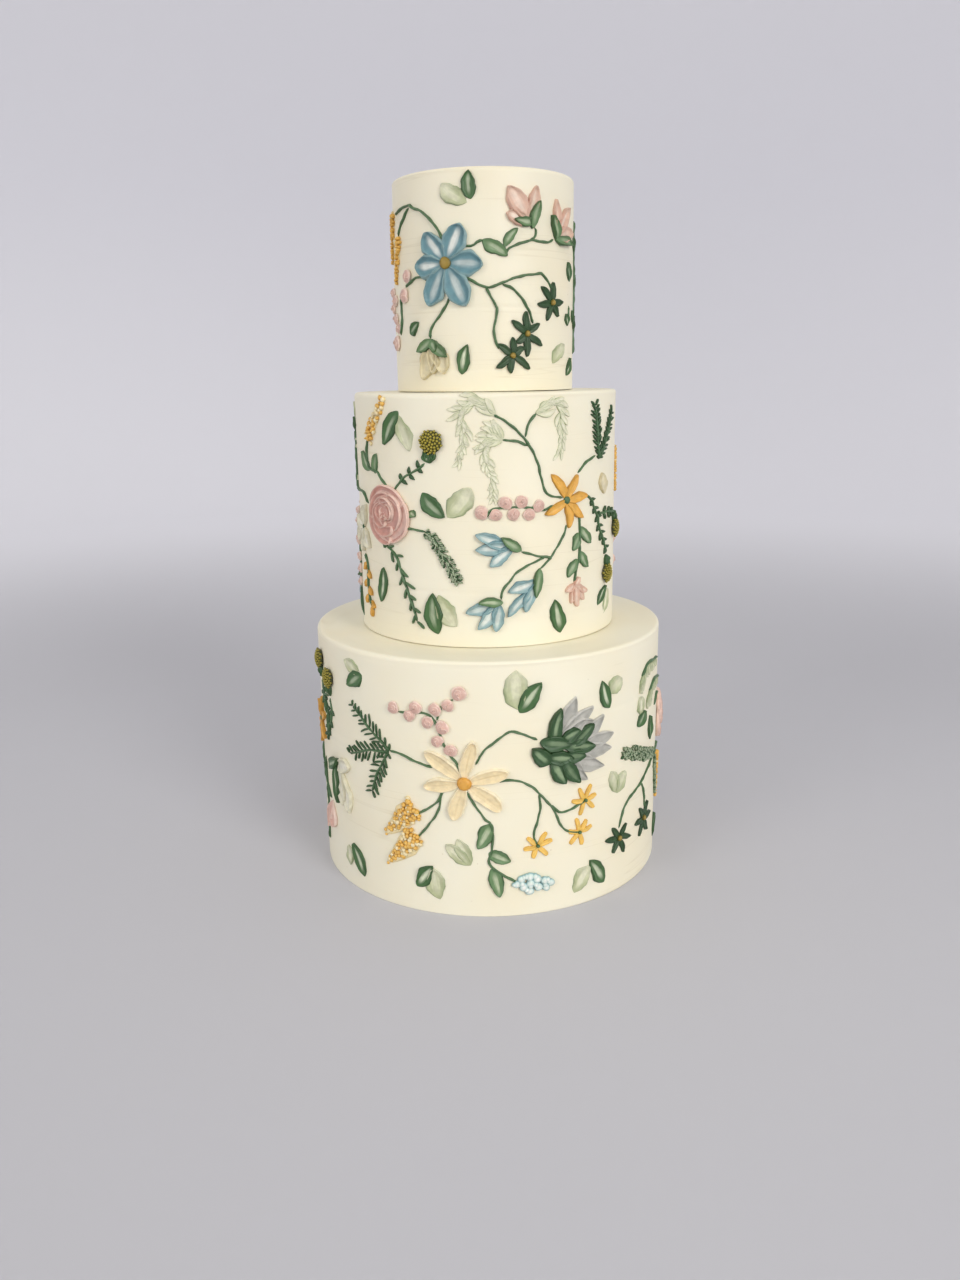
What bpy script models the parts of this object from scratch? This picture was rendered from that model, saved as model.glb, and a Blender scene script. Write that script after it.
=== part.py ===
"""Three-tier buttercream cake with flowers in palette-knife relief.

Run with: blender --background --python part.py
The cake stands on its flat underside at z = 0, centred on the Z axis, with its front towards -Y.
Each tier is one solid with its piped stems, leaves, berries and small stars fused on.
Each large blossom is a solid of its own, laid on the icing with a small gap.
"""

import math

import bmesh
import bpy
import numpy as np
from mathutils import Matrix, Vector

# Driving dimensions, in millimetres.
MM = 0.001
GAP = 0.3
TIER_HEIGHTS = {"bottom": 151.0, "middle": 139.5, "top": 115.5}
TIER_RADII = {"bottom": 107.0, "middle": 78.0, "top": 52.0}
WALL_FACETS = {"bottom": 48, "middle": 40, "top": 32}
RIM_ROUNDING = 2.0

# Relief of the decoration above the icing, in millimetres.
SINK = 0.6
STEM_WIDTH = 1.5
STEM_RISE = 1.3
STEM_SPREAD = STEM_WIDTH / math.sqrt(3) * (STEM_RISE + SINK) / STEM_RISE
STEM_STEP = 15.0
LEAF_RISE = 1.6
SEPAL_RISE = 2.6
PETAL_RISE = 2.4
PETAL_HOLLOW = 1.2
SCOOP_RIM = 0.7
STAR_RISE = 1.8
STAR_WAIST = 0.3
BEAD_RISE = 0.85
BEAD_TOP = 0.72
CROWN_SHOULDER = 0.12
CROWN_TIP = 0.2
LARGE_BEAD = 5.0
SMALLEST_LEAF = 5.0
SMALLEST_BERRY = 3.2
ROSE_RINGS = [(0.0, 4.4), (0.18, 5.2), (0.42, 3.9), (0.55, 4.9), (0.78, 3.4), (0.9, 4.0), (1.0, 1.4)]
ROSE_UNEVEN = 0.05
CLEARANCE = 0.9
SHARP_EDGE = math.radians(35)

# Linear colours of the icing and of the tinted buttercream.
COLOURS = {
    "ivory": (0.86, 0.78, 0.62),
    "deep": (0.045, 0.12, 0.05),
    "blue": (0.16, 0.34, 0.46),
    "sky": (0.42, 0.62, 0.68),
    "blush": (0.74, 0.45, 0.40),
    "rose": (0.62, 0.26, 0.28),
    "cream": (0.78, 0.68, 0.48),
    "gold": (0.78, 0.40, 0.05),
    "moss": (0.20, 0.19, 0.03),
    "lilac": (0.33, 0.33, 0.38),
}

# A spray is laid out on the unrolled icing, in millimetres from the blossom at its heart: x to the
# right and y up. A stroke or leaf is (base x, base y, tip x, tip y, width), a bead or berry
# (x, y, radius), a star (x, y, reach, turn in degrees), and a stem a list of points.
BLUE_SPRAY = {
    "blooms": {
        "blue_flower": {
            "colour": "blue",
            "petals": [
                (0, 0.5, 8.5, 18.5, 12),
                (-0.5, 0.5, -12, 14.5, 11),
                (-0.5, 0, -18, -0.5, 10),
                (-0.5, -0.5, -10, -20.5, 11),
                (0.5, -0.5, 11, -21, 12.5),
                (0.5, 0, 19.5, -1.5, 11),
            ],
            "beads": [(0, 0, 3.2)],
        },
        "pink_magnolia_a": {
            "colour": "blush",
            "petals": [(46, 21, 34, 38, 11), (46, 22, 33, 25, 8), (46, 21, 51, 39, 7)],
            "sepals": [(49, 20, 37.5, 21, 5.5), (48, 18.5, 52.5, 31.5, 5.5)],
        },
        "pink_magnolia_b": {
            "colour": "blush",
            "petals": [(67, 14, 65.5, 33.5, 7), (67, 14, 79.5, 30.5, 7), (66.5, 13.5, 82.5, 18, 9)],
            "sepals": [(66.5, 12, 62, 25, 5.5), (65, 13, 81, 10.5, 5.5)],
        },
        "cream_bud": {
            "colour": "cream",
            "petals": [(-9.5, -41, -15, -62, 10), (-9, -41, -2, -59, 9)],
            "sepals": [(-8.5, -39.5, -19, -46, 5.5), (-10, -40, 0.5, -49, 6)],
        },
    },
    "stars": [(63, -20.5, 10, 5), (45.5, -37, 11, 35), (36.5, -48.5, 10, 30)],
    "stems": [
        [(-2, 13), (-7.5, 21), (-14.5, 26.5), (-26.5, 31.5), (-34, 30), (-42, 29)],
        [(-26, 30.5), (-31, 25.5), (-38.5, 17)],
        [(11.5, 8), (15, 8), (21, 11)],
        [(36, 7), (39, 9), (47, 11), (59, 11), (64, 12.5)],
        [(47, 11), (50.5, 13), (50, 17.5)],
        [(14, -9), (22, -13), (31, -11), (41, -7.5), (51, -5.5), (59.5, -8), (62.5, -13)],
        [(31, -11.5), (40, -17), (46.5, -25), (49, -31.5)],
        [(22, -13), (28.5, -25), (26, -37.5), (29, -45)],
        [(-12, -9), (-20, -6), (-30.5, -11), (-36.5, -17.5), (-36.5, -30.5), (-39, -35)],
        [(2, -17.5), (-4, -27.5), (-10.5, -35), (-10.5, -40)],
        [(95, 25.5), (93, 10.5), (97, -4.5), (96, -22), (97, -35.5), (95, -47.5)],
    ],
    "leaves": [
        (20, 11, 34, 3, 7.5),
        (32.5, 7.5, 39.5, 17, 5),
        (14.5, 31.5, 13.5, 46, 7.5),
        (12.5, 30, -1.5, 40, 8.5),
        (-27.5, -35.5, -19, -29.5, 5),
        (8.5, -58.5, 11.5, -42.5, 6.5),
        (63.5, -53, 75, -42.5, 7),
        (83, -8.5, 79, 2, 6),
        (81, -32, 77, -26, 5),
        (92, -30, 88, -23.5, 5),
        (79, -59.5, 84, -50, 5),
    ],
    "berries": [
        (-28, -5, 3.0),
        (-31.5, -15, 3.4),
        (-46, -17, 2.8),
        (-53, -12.5, 2.8),
        (-53, -21, 2.8),
        (-46.5, -26.5, 2.8),
        (-46, -38.5, 3.6),
    ],
    "spikes": [(-45, 30, -50, 4, 4.5), (-37.5, 16, -43, -7, 4.5)],
}

ROSE_SPRAY = {
    "blooms": {
        "rose": {"colour": "rose", "rosette": (0, 0, 17)},
        "white_flower": {
            "colour": "cream",
            "petals": [
                (-30.5, -10.5, -25.5, 2, 7),
                (-30, -10.5, -42, -4, 8),
                (-30, -10, -43, -18, 8),
                (-30.5, -9.5, -32, -25, 8),
                (-31, -10, -20.5, -21, 8),
            ],
        },
        "button": {"colour": "moss", "beads": [(32, 41.5, 7)], "sepals": [(29, 29.5, 31, 38, 9)]},
    },
    "stems": [
        [(0, 15.5), (-9.5, 23.5), (-16, 24), (-21, 34.5), (-19.5, 41)],
        [(-23.5, 6), (-29.5, 10.5), (-44, 11), (-51, 20), (-51, 45)],
        [(6.5, 15), (14.5, 22), (27, 29)],
        [(14, -6.5), (26, -8)],
        [(-5.5, -16.5), (6, -24), (11.5, -38), (19, -59)],
        [(-33, -24.5), (-26, -31.5), (-27, -42), (-20, -59)],
        [(-51, -6), (-51, -49)],
    ],
    "leaves": [
        (-17.5, 24, -27, 34.5, 6),
        (-11.5, 22.5, -9.5, 33.5, 5),
        (-51, 43, -51, 53, 6),
        (-51, 51, -52, 62, 7),
        (-43, -66, -51, -50.5, 6),
        (-11, -52, -6.5, -31, 7),
        (-1, 38.5, 10.5, 57, 9),
        (18, 36, 10, 56, 8),
        (38.5, 0.5, 25, 14, 9),
        (39.5, 0.5, 53.5, 17, 10),
        (33, -65.5, 30, -42, 10),
        (44, -60.5, 33.5, -43, 10),
    ],
    "berries": [(-51, -8.5, 3.2), (-50, -20.5, 3.4), (-52, -31, 3.0), (-50, -38.5, 3.0), (-51, -46.5, 3.0)],
    "spikes": [(-18.5, 41.5, -4, 60, 8)],
    "sprigs": [(26, -8, 37, -19.5, 6), (35, -17, 46, -35, 7)],
}

GOLD_SPRAY = {
    "blooms": {
        "gold_star": {
            "colour": "gold",
            "petals": [
                (0.5, -0.5, -10.5, 15, 5.5),
                (-0.5, -0.5, 7.5, 14, 5.5),
                (-0.5, 0, 15.5, 2, 5.5),
                (-0.5, 0.5, 12.5, -11, 5.5),
                (0, 0.5, 1.5, -15.5, 5.5),
                (0.5, 0, -14.5, -7, 5.5),
            ],
            "beads": [(0, 0, 2.6)],
        },
        "blue_tulip_a": {
            "colour": "sky",
            "petals": [(-32, -23.5, -53, -16.5, 8), (-32, -23.5, -53.5, -25, 8), (-32, -23, -45.5, -34.5, 8)],
            "sepals": [(-28, -26, -39, -18.5, 6)],
        },
        "blue_tulip_b": {
            "colour": "sky",
            "petals": [(-41, -56, -59.5, -60.5, 8), (-41, -55, -52.5, -70, 7.5), (-41, -54.5, -42.5, -71, 8)],
            "sepals": [(-38.5, -55, -52, -54.5, 5.5)],
        },
        "blue_tulip_c": {
            "colour": "sky",
            "petals": [(-18.5, -43, -33.5, -48, 7.5), (-18.5, -43, -26, -60, 7)],
            "sepals": [(-17.5, -37, -19, -51, 5.5)],
        },
        "pink_fan": {
            "colour": "blush",
            "petals": [
                (7, -48, -1, -52, 4.5),
                (7, -48, 3.5, -59, 5),
                (7, -48, 8, -61.5, 5),
                (7, -48, 13, -58, 5),
                (6.5, -48.5, 16, -53, 4.5),
                (6.5, -50, 11, -44, 4.5),
            ],
        },
        "button_a": {"colour": "moss", "beads": [(39, -46.5, 6)], "sepals": [(41, -36, 39.5, -43, 8)]},
        "button_b": {"colour": "moss", "beads": [(57, -22, 6)], "sepals": [(56, -11.5, 57, -18, 8)]},
    },
    "stems": [
        [(-6, 2), (-12, 4), (-16.5, 14.5), (-18.5, 22), (-26, 35), (-35.5, 43), (-42.5, 47.5)],
        [(-25.5, 35.5), (-24.5, 40.5), (-19, 47.5)],
        [(-24, 31), (-29.5, 33), (-38, 34)],
        [(8.5, 14), (16.5, 20.5), (24, 23)],
        [(16, 1.5), (23.5, -6.5), (29, -18), (37.5, -33), (41, -37)],
        [(28, -10.5), (39.5, -10.5), (54, -12)],
        [(9.5, -11.5), (10.5, -19), (9.5, -33.5), (6, -47)],
        [(-0.5, -15.5), (-9.5, -30), (-19.5, -29.5), (-28, -26.5)],
        [(-9.5, -30), (-17.5, -37)],
        [(-14, -30.5), (-26.5, -35.5), (-35, -43.5), (-39, -53)],
        [(-11.5, -3), (-22, -3), (-38, -2.5), (-48.5, -8)],
    ],
    "leaves": [
        (10.5, -16, 19.5, -26.5, 6),
        (10.5, -19, 5, -29, 6),
        (11, -29.5, 17, -39.5, 5.5),
        (9.5, -34.5, 1, -44, 6),
        (-3.5, -75, -7.5, -55.5, 9.5),
        (29, -64.5, 38, -54, 6),
        (37, -70, 43, -56.5, 6),
        (37.5, 1, 32, 13, 9),
    ],
    "berries": [
        (-18, -2, 3.5),
        (-23.5, -6, 3.5),
        (-28, 0.5, 3.5),
        (-32, -5.5, 3.5),
        (-36.5, 0, 3.7),
        (-42, -5.5, 3.5),
        (-49.5, -4.5, 3.8),
    ],
    "sprigs": [
        (28, 20.5, 23.5, 52, 7),
        (29, 21, 45.5, 46.5, 6),
        (-41.5, 47.5, -57, 53, 10),
        (-50, 52, -64, 42, 11),
        (-59, 44, -61.5, 23, 8),
        (-19.5, 48, -6, 52, 10),
        (-7, 53, -4.5, 26, 8),
        (-38, 33.5, -48, 30, 8),
        (-46, 33, -45, 14, 9),
        (-44, 18, -43.5, 2, 7),
    ],
}

DAISY_SPRAY = {
    "blooms": {
        "daisy": {
            "colour": "cream",
            "petals": [
                (-0.5, 0.5, -22.5, 17, 9.5),
                (0, 0.5, 5.5, 25, 9),
                (0.5, 0, 25, 6, 9),
                (0.5, -0.5, 20.5, -16.5, 10),
                (0, -0.5, -6.5, -22.5, 10.5),
                (-0.5, 0, -23.5, -3.5, 9),
            ],
            "beads": [(0, 0, 4)],
        },
        "thistle": {
            "colour": "lilac",
            "petals": [
                (54, 27, 64, 45.5, 8),
                (56, 26, 74, 31.5, 8),
                (66, 17, 82.5, 31, 9),
                (66, 16.5, 89, 20, 9),
                (66, 14, 87.5, 13, 8),
                (58, 12, 83, 2, 8),
            ],
            "sepals": [
                (51, 20, 55.5, 41, 8),
                (50, 22, 67, 27, 8),
                (56, 15, 75, 28, 8),
                (52, 16, 76, 15, 9),
                (43, 22, 60, 17, 10),
                (52, 9, 39, 22, 9),
                (46, 10, 64, 12, 9),
                (50, 14, 57, -1.5, 9),
                (55, 14, 67, -3, 8.5),
            ],
        },
        "grape_hyacinth": {
            "colour": "sky",
            "beads": [
                (31, -60, 4),
                (32, -65, 3.8),
                (36, -59, 4),
                (37, -64, 4),
                (41, -60, 3.8),
                (42.5, -64.5, 3.6),
                (46, -62, 3.4),
                (49.5, -63.5, 2.8),
            ],
        },
    },
    "stars": [(70.5, -16.5, 9, 5), (66.5, -35.5, 9, 20), (41, -39, 9, 0)],
    "stems": [
        [(-21, 9), (-31, 11), (-45, 14.5)],
        [(-45, 14.5), (-57.5, 23), (-73, 35.5)],
        [(-45.5, 13.5), (-61, 11), (-80.5, 3.5)],
        [(-46.5, 12.5), (-54, -0.5), (-59.5, -13.5)],
        [(-4.5, 11.5), (-7, 15), (-14, 29.5), (-16, 35), (-21.5, 39), (-38, 38.5)],
        [(-15, 36), (-11.5, 44), (-5.5, 48.5)],
        [(7.5, 16), (11.5, 19.5), (25.5, 30), (38, 25), (43, 22.5)],
        [(20, 1), (33.5, -0.5), (45.5, -12), (50, -18.5), (58, -32.5), (64, -35)],
        [(48.5, -15.5), (54.5, -20.5), (61, -20.5), (67, -17.5)],
        [(41.5, -8), (42, -16), (38.5, -32.5)],
        [(1, -5), (5.5, -13), (14, -23.5), (15.5, -31), (14, -49.5), (23.5, -59.5), (27, -59.5)],
        [(-13, -6.5), (-16, -12.5), (-26.5, -20.5)],
        [(-13, -7), (-15, -16.5), (-26.5, -33.5)],
    ],
    "leaves": [
        (15, -24, 6.5, -39, 8.5),
        (13, -41.5, 25.5, -47, 7),
        (14.5, -51, 19, -69.5, 7.5),
        (-65, 55, -77, 62, 6),
        (-64, 55, -76, 47, 7.5),
        (30.5, 42, 29, 64.5, 10),
        (30.5, 40.5, 43, 57, 9),
        (88, 35, 81.5, 52, 7),
        (88, 43.5, 97.5, 51, 9),
        (95.5, -19, 90, -4, 6),
        (95.5, -19, 103, -7, 7),
        (-85, -69.5, -85.5, -56.5, 6),
        (-70, -71.5, -80, -53, 7.5),
        (-29.5, -66, -19.5, -52, 8),
        (-15.5, -72, -19, -53.5, 9.5),
        (2.5, -49.5, -10, -36.5, 11),
        (63.5, -73, 74.5, -58.5, 9),
        (86, -72.5, 74, -55, 8),
    ],
    "berries": [
        (-7, 19, 3.9),
        (-14.5, 24, 3.6),
        (-12, 32.5, 4.0),
        (-20, 34.5, 3.7),
        (-15.5, 42, 3.8),
        (-8.5, 45, 3.6),
        (-2, 52, 4.2),
        (-27, 42, 3.8),
        (-30.5, 37.5, 3.6),
        (-41, 40.5, 3.6),
    ],
    "spikes": [(-28, -18, -50.5, -37.5, 12), (-28, -34, -49.5, -55.5, 12)],
}

RIGHT_SPRAY = {
    "blooms": {"rose": {"colour": "rose", "rosette": (17, 14, 16.5)}},
    "stars": [(-66, -39, 10.5, 20), (-37, -36.5, 10, 50)],
    "stems": [
        [(-9, 0), (-25, -4), (-41.5, -11.5), (-56, -17), (-66.5, -29)],
        [(-41.5, -12), (-37.5, -20.5), (-36.5, -25)],
        [(-44, 55), (-39, 60.5), (-20, 60)],
        [(-31, 43), (-21.5, 47.5), (-6, 45)],
        [(-18, 31), (-12, 35.5), (-2, 34)],
    ],
    "leaves": [
        (-44, 31, -46, 42.5, 7),
        (-48.5, 25.5, -39, 33, 7),
        (-26, 10.5, -29, 26.5, 5),
        (-8, -62, -6, -46, 7),
    ],
    "sprigs": [(-18, 0, -36, 5, 5.5), (-34, 4, -62, 13, 7), (-10, -6, -8, -32, 5.5)],
}

LEFT_SPRAY = {
    "blooms": {
        "gold_star": {
            "colour": "gold",
            "petals": [
                (-13, -1, -7, 15, 6),
                (-13, -1, 1, 5, 6),
                (-13, -1, -1, -11, 6),
                (-13, -1, -14, -17, 6),
                (-13, -1, -26, -9, 6),
                (-13, -1, -25, 8, 6),
            ],
            "beads": [(-13, -1, 2.6)],
        },
        "button_a": {"colour": "moss", "beads": [(-4, 40, 6.5)], "sepals": [(-4, 28.5, -4, 36, 8)]},
        "button_b": {"colour": "moss", "beads": [(13, 32, 6.5)], "sepals": [(11.5, 20.5, 12.5, 28, 8)]},
        "white_magnolia": {
            "colour": "cream",
            "petals": [(21, -20, 32, -47, 12), (19, -21, 34, -18, 9)],
            "sepals": [(6, -26, 22, -17, 8), (17, -21, 21, -45, 7.5)],
        },
        "pink_bud": {"colour": "blush", "petals": [(6, -50, -4, -70, 9), (6, -50, 7, -66, 7)]},
    },
    "stems": [
        [(-4, 27), (1, 18), (9, 21)],
        [(-15, -20), (-12, -33), (4, -48)],
        [(-5, 12), (1, 18)],
    ],
    "leaves": [(0, 16, 8, 8, 5), (8, 10, 10, -2, 5), (-12, -34, -4, -27, 5)],
}

# Where each spray goes: tier, spray name, layout, degrees round from the front, height of its heart
# above the tier's foot, scale, and -1 to mirror it.
PLACES = [
    ("top", "blue_spray", BLUE_SPRAY, -23.6, 67.5, 1.0, 1),
    ("top", "rose_spray", ROSE_SPRAY, 180.0, 57.0, 0.82, 1),
    ("middle", "rose_spray", ROSE_SPRAY, -45.7, 72.5, 1.0, 1),
    ("middle", "gold_spray", GOLD_SPRAY, 34.0, 80.5, 1.0, 1),
    ("middle", "blue_spray", BLUE_SPRAY, 128.0, 75.0, 1.0, 1),
    ("middle", "small_gold_spray", GOLD_SPRAY, 239.0, 72.0, 0.8, -1),
    ("bottom", "daisy_spray", DAISY_SPRAY, -8.0, 81.5, 1.0, 1),
    ("bottom", "right_spray", RIGHT_SPRAY, 80.0, 72.5, 1.0, 1),
    ("bottom", "gold_spray", GOLD_SPRAY, 152.0, 84.0, 1.0, 1),
    ("bottom", "rose_spray", ROSE_SPRAY, 232.0, 78.0, 1.0, -1),
    ("bottom", "left_spray", LEFT_SPRAY, -69.0, 95.0, 1.0, 1),
]


class Wall:
    """The side of one tier, as an unrolled sheet that maps onto the cylinder."""

    def __init__(self, tier, foot):
        gap = GAP if foot else 0.0
        self.tier = tier
        self.radius = TIER_RADII[tier]
        self.height = TIER_HEIGHTS[tier] - gap
        self.foot = foot + gap
        self.kept_clear = []

    def point(self, along, up, lift):
        """The place of a point `along` the wall and `up` it, `lift` outside the icing, in metres."""
        angle = along / self.radius
        reach = (self.radius + lift) * MM
        return Vector((reach * math.sin(angle), -reach * math.cos(angle), (self.foot + up) * MM))


class Placing:
    """Turns a spray's own millimetres into places on a wall."""

    def __init__(self, wall, degrees, height, scale, flip):
        self.wall = wall
        self.start = math.radians(degrees) * wall.radius
        self.height = height
        self.scale = scale
        self.flip = flip

    def spot(self, x, y):
        return (self.start + self.flip * self.scale * x, self.height + self.scale * y)

    def stroke(self, values):
        x0, y0, x1, y1, width = values
        return (*self.spot(x0, y0), *self.spot(x1, y1), width * self.scale)

    def bead(self, values):
        x, y, radius = values
        return (*self.spot(x, y), radius * self.scale)


def clear_scene():
    for found in list(bpy.data.objects):
        bpy.data.objects.remove(found)


def new_collection(name):
    made = bpy.data.collections.new(name)
    bpy.context.scene.collection.children.link(made)
    return made


def icing(colour):
    """Tinted buttercream: satin, not metallic."""
    found = bpy.data.materials.get("buttercream_" + colour)
    if found:
        return found
    made = bpy.data.materials.new("buttercream_" + colour)
    made.use_nodes = True
    shader = made.node_tree.nodes["Principled BSDF"]
    shader.inputs["Base Color"].default_value = (*COLOURS[colour], 1.0)
    shader.inputs["Roughness"].default_value = 0.5
    shader.inputs["Metallic"].default_value = 0.0
    return made


def object_from(bm, name, collection, colour):
    mesh = bpy.data.meshes.new(name)
    bm.to_mesh(mesh)
    bm.free()
    made = bpy.data.objects.new(name, mesh)
    mesh.materials.append(icing(colour))
    collection.objects.link(made)
    return made


def tier_body(wall, collection):
    """A turned drum with a softly rounded top rim, from its profile and a Screw modifier."""
    radius, height = wall.radius * MM, wall.height * MM
    soft = RIM_ROUNDING * MM
    corner = soft * (1 - math.sqrt(0.5))
    profile = [
        (0, height),
        (radius - soft, height),
        (radius - corner, height - corner),
        (radius, height - soft),
        (radius, 0),
        (0, 0),
    ]
    bm = bmesh.new()
    points = [bm.verts.new((r, 0, wall.foot * MM + z)) for r, z in profile]
    for upper, lower in zip(points, points[1:]):
        bm.edges.new((upper, lower))
    made = object_from(bm, wall.tier + "_tier", collection, "ivory")
    turn = made.modifiers.new("turn", "SCREW")
    turn.steps = turn.render_steps = WALL_FACETS[wall.tier]
    turn.use_merge_vertices = True
    turn.merge_threshold = 0.0001
    return applied(made)


def applied(obj):
    """The object with its modifiers made part of its mesh."""
    bpy.context.view_layer.update()
    graph = bpy.context.evaluated_depsgraph_get()
    mesh = bpy.data.meshes.new_from_object(obj.evaluated_get(graph))
    obj.modifiers.clear()
    obj.data = mesh
    return obj


def shade_round(obj):
    """Smooth shading, with the knife's edges kept sharp."""
    obj.data.shade_smooth()
    obj.data.set_sharp_from_angle(angle=SHARP_EDGE)


def join(target, pieces, solver="EXACT"):
    """Fuses the pieces onto the target with one Boolean union."""
    if not pieces:
        return target
    group = new_collection("fusing")
    for piece in pieces:
        for home in piece.users_collection:
            home.objects.unlink(piece)
        group.objects.link(piece)
    union = target.modifiers.new("fuse", "BOOLEAN")
    union.operation = "UNION"
    union.operand_type = "COLLECTION"
    union.collection = group
    union.solver = solver
    applied(target)
    for piece in pieces:
        bpy.data.objects.remove(piece)
    bpy.data.collections.remove(group)
    return target


def pare(target, cutter):
    """Cuts the target's back so that it follows the icing at the gap."""
    cut = target.modifiers.new("pare", "BOOLEAN")
    cut.operation = "DIFFERENCE"
    cut.object = cutter
    cut.solver = "MANIFOLD"
    return applied(target)


def back_cutter(wall, collection):
    """A drum one gap larger than the tier, with the same facets."""
    facets = WALL_FACETS[wall.tier]
    bm = bmesh.new()
    bmesh.ops.create_cone(
        bm,
        cap_ends=True,
        segments=facets,
        radius1=(wall.radius + GAP) * MM,
        radius2=(wall.radius + GAP) * MM,
        depth=2 * wall.height * MM,
    )
    middle = (wall.foot + wall.height / 2) * MM
    # A primitive's first corner lies on +Y, and the turned drum's on +X.
    bmesh.ops.rotate(bm, verts=bm.verts, matrix=Matrix.Rotation(math.radians(-90), 3, "Z"))
    bmesh.ops.translate(bm, verts=bm.verts, vec=(0, 0, middle))
    made = object_from(bm, wall.tier + "_cutter", collection, "ivory")
    made.hide_render = True
    made.display_type = "WIRE"
    return made


def knife_stroke(wall, stroke, rise, level, colour, collection, hollow=0.0):
    """One palette-knife petal or leaf, from a six-sided cone drawn out along the wall.

    A flat top ring with a lowered middle makes a scooped petal with a rim, and no top ring a ridge.
    The stroke has its stated outline at the lift `level`, and spreads a little below it.
    """
    x0, y0, x1, y1, width = stroke
    length = math.hypot(x1 - x0, y1 - y0)
    along = ((x1 - x0) / length, (y1 - y0) / length)
    across = (-along[1], along[0])
    bm = bmesh.new()
    top = SCOOP_RIM if hollow else 0.0
    bmesh.ops.create_cone(bm, cap_ends=True, segments=6, radius1=1, radius2=top, depth=1)
    if hollow:
        lid = [face for face in bm.faces if all(v.co.z > 0 for v in face.verts)]
        poked = bmesh.ops.poke(bm, faces=lid)
        for vert in poked["verts"]:
            vert.co.z = 0.5 - hollow / (rise + SINK)
    spread = 1 / (1 - (1 - top) * (level + SINK) / (rise + SINK))
    for vert in bm.verts:
        reach = length * (1 + spread * vert.co.y) / 2
        side = -vert.co.x * spread * width / 2
        lift = -SINK + (vert.co.z + 0.5) * (rise + SINK)
        spot = (x0 + along[0] * reach + across[0] * side, y0 + along[1] * reach + across[1] * side)
        vert.co = wall.point(*spot, lift)
    return object_from(bm, "stroke", collection, colour)


def small_star(wall, star, collection):
    """A six-pointed star of knife strokes, from a twelve-sided cone with every other corner drawn in."""
    x, y, reach, turn = star
    bm = bmesh.new()
    bmesh.ops.create_cone(bm, cap_ends=True, segments=12, radius1=1, radius2=0, depth=1)
    spread = (STAR_RISE + SINK) / STAR_RISE
    for vert in bm.verts:
        angle = math.atan2(vert.co.y, vert.co.x)
        drawn = reach if round(angle / math.radians(30)) % 2 else reach * STAR_WAIST
        out = spread * drawn * math.hypot(vert.co.x, vert.co.y)
        spot = (x + out * math.cos(angle + turn), y + out * math.sin(angle + turn))
        vert.co = wall.point(*spot, -SINK + (vert.co.z + 0.5) * (STAR_RISE + SINK))
    return object_from(bm, "star", collection, "deep")


def bead(wall, ball, colour, collection):
    """A piped ball pressed onto the icing: a dome, with more sides and a fuller top where it is large."""
    x, y, radius = ball
    large = radius > LARGE_BEAD
    sides = 9 if large else 6
    bm = bmesh.new()
    bmesh.ops.create_cone(bm, cap_ends=True, segments=sides, radius1=1, radius2=BEAD_TOP, depth=1)
    lid = [face for face in bm.faces if all(v.co.z > 0 for v in face.verts)]
    if large:
        bmesh.ops.inset_region(bm, faces=lid, thickness=BEAD_TOP / 2)
        for vert in {v for face in lid for v in face.verts}:
            vert.co.z += CROWN_SHOULDER
    poked = bmesh.ops.poke(bm, faces=lid)
    for vert in poked["verts"]:
        vert.co.z += CROWN_TIP / 3 if large else CROWN_TIP
    for vert in bm.verts:
        lift = -SINK + (vert.co.z + 0.5) * (BEAD_RISE * radius + SINK)
        vert.co = wall.point(x + radius * vert.co.x, y + radius * vert.co.y, lift)
    return object_from(bm, "bead", collection, colour)


def rosette(wall, ball, colour, collection):
    """A ruffled rose: a turned profile with rings of petals, rising towards the middle."""
    x, y, radius = ball
    rings = [*ROSE_RINGS, (ROSE_RINGS[-1][0], -SINK), (0.0, -SINK)]
    bm = bmesh.new()
    points = [bm.verts.new((share, 0, lift)) for share, lift in rings]
    edges = [bm.edges.new(pair) for pair in zip(points, points[1:])]
    bmesh.ops.spin(
        bm, geom=points + edges, cent=(0, 0, 0), axis=(0, 0, 1), angle=math.tau, steps=12, use_merge=True
    )
    bmesh.ops.remove_doubles(bm, verts=bm.verts, dist=1e-5)
    bmesh.ops.recalc_face_normals(bm, faces=bm.faces)
    for vert in bm.verts:
        turn = math.atan2(vert.co.y, vert.co.x)
        uneven = 1 + ROSE_UNEVEN * math.sin(3 * turn + 1)
        spot = (x + radius * uneven * vert.co.x, y + radius * uneven * vert.co.y)
        vert.co = wall.point(*spot, vert.co.z)
    return object_from(bm, "rosette", collection, colour)


def smooth_route(points, step):
    """Points at even steps along a Catmull-Rom curve through the route's own points."""
    route = np.array(points, float)
    ends = np.vstack([2 * route[0] - route[1], route, 2 * route[-1] - route[-2]])
    fine = []
    for i in range(1, len(ends) - 2):
        a, b, c, d = ends[i - 1 : i + 3]
        slope, bend, twist = c - a, 2 * a - 5 * b + 4 * c - d, 3 * b - a - 3 * c + d
        for t in np.linspace(0, 1, 9)[:-1]:
            fine.append(b + 0.5 * (slope * t + bend * t**2 + twist * t**3))
    fine = np.array([*fine, route[-1]])
    run = np.concatenate([[0], np.cumsum(np.linalg.norm(np.diff(fine, axis=0), axis=1))])
    count = max(2, round(run[-1] / step) + 1)
    at = np.linspace(0, run[-1], count)
    return np.stack([np.interp(at, run, fine[:, k]) for k in (0, 1)], axis=1)


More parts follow.
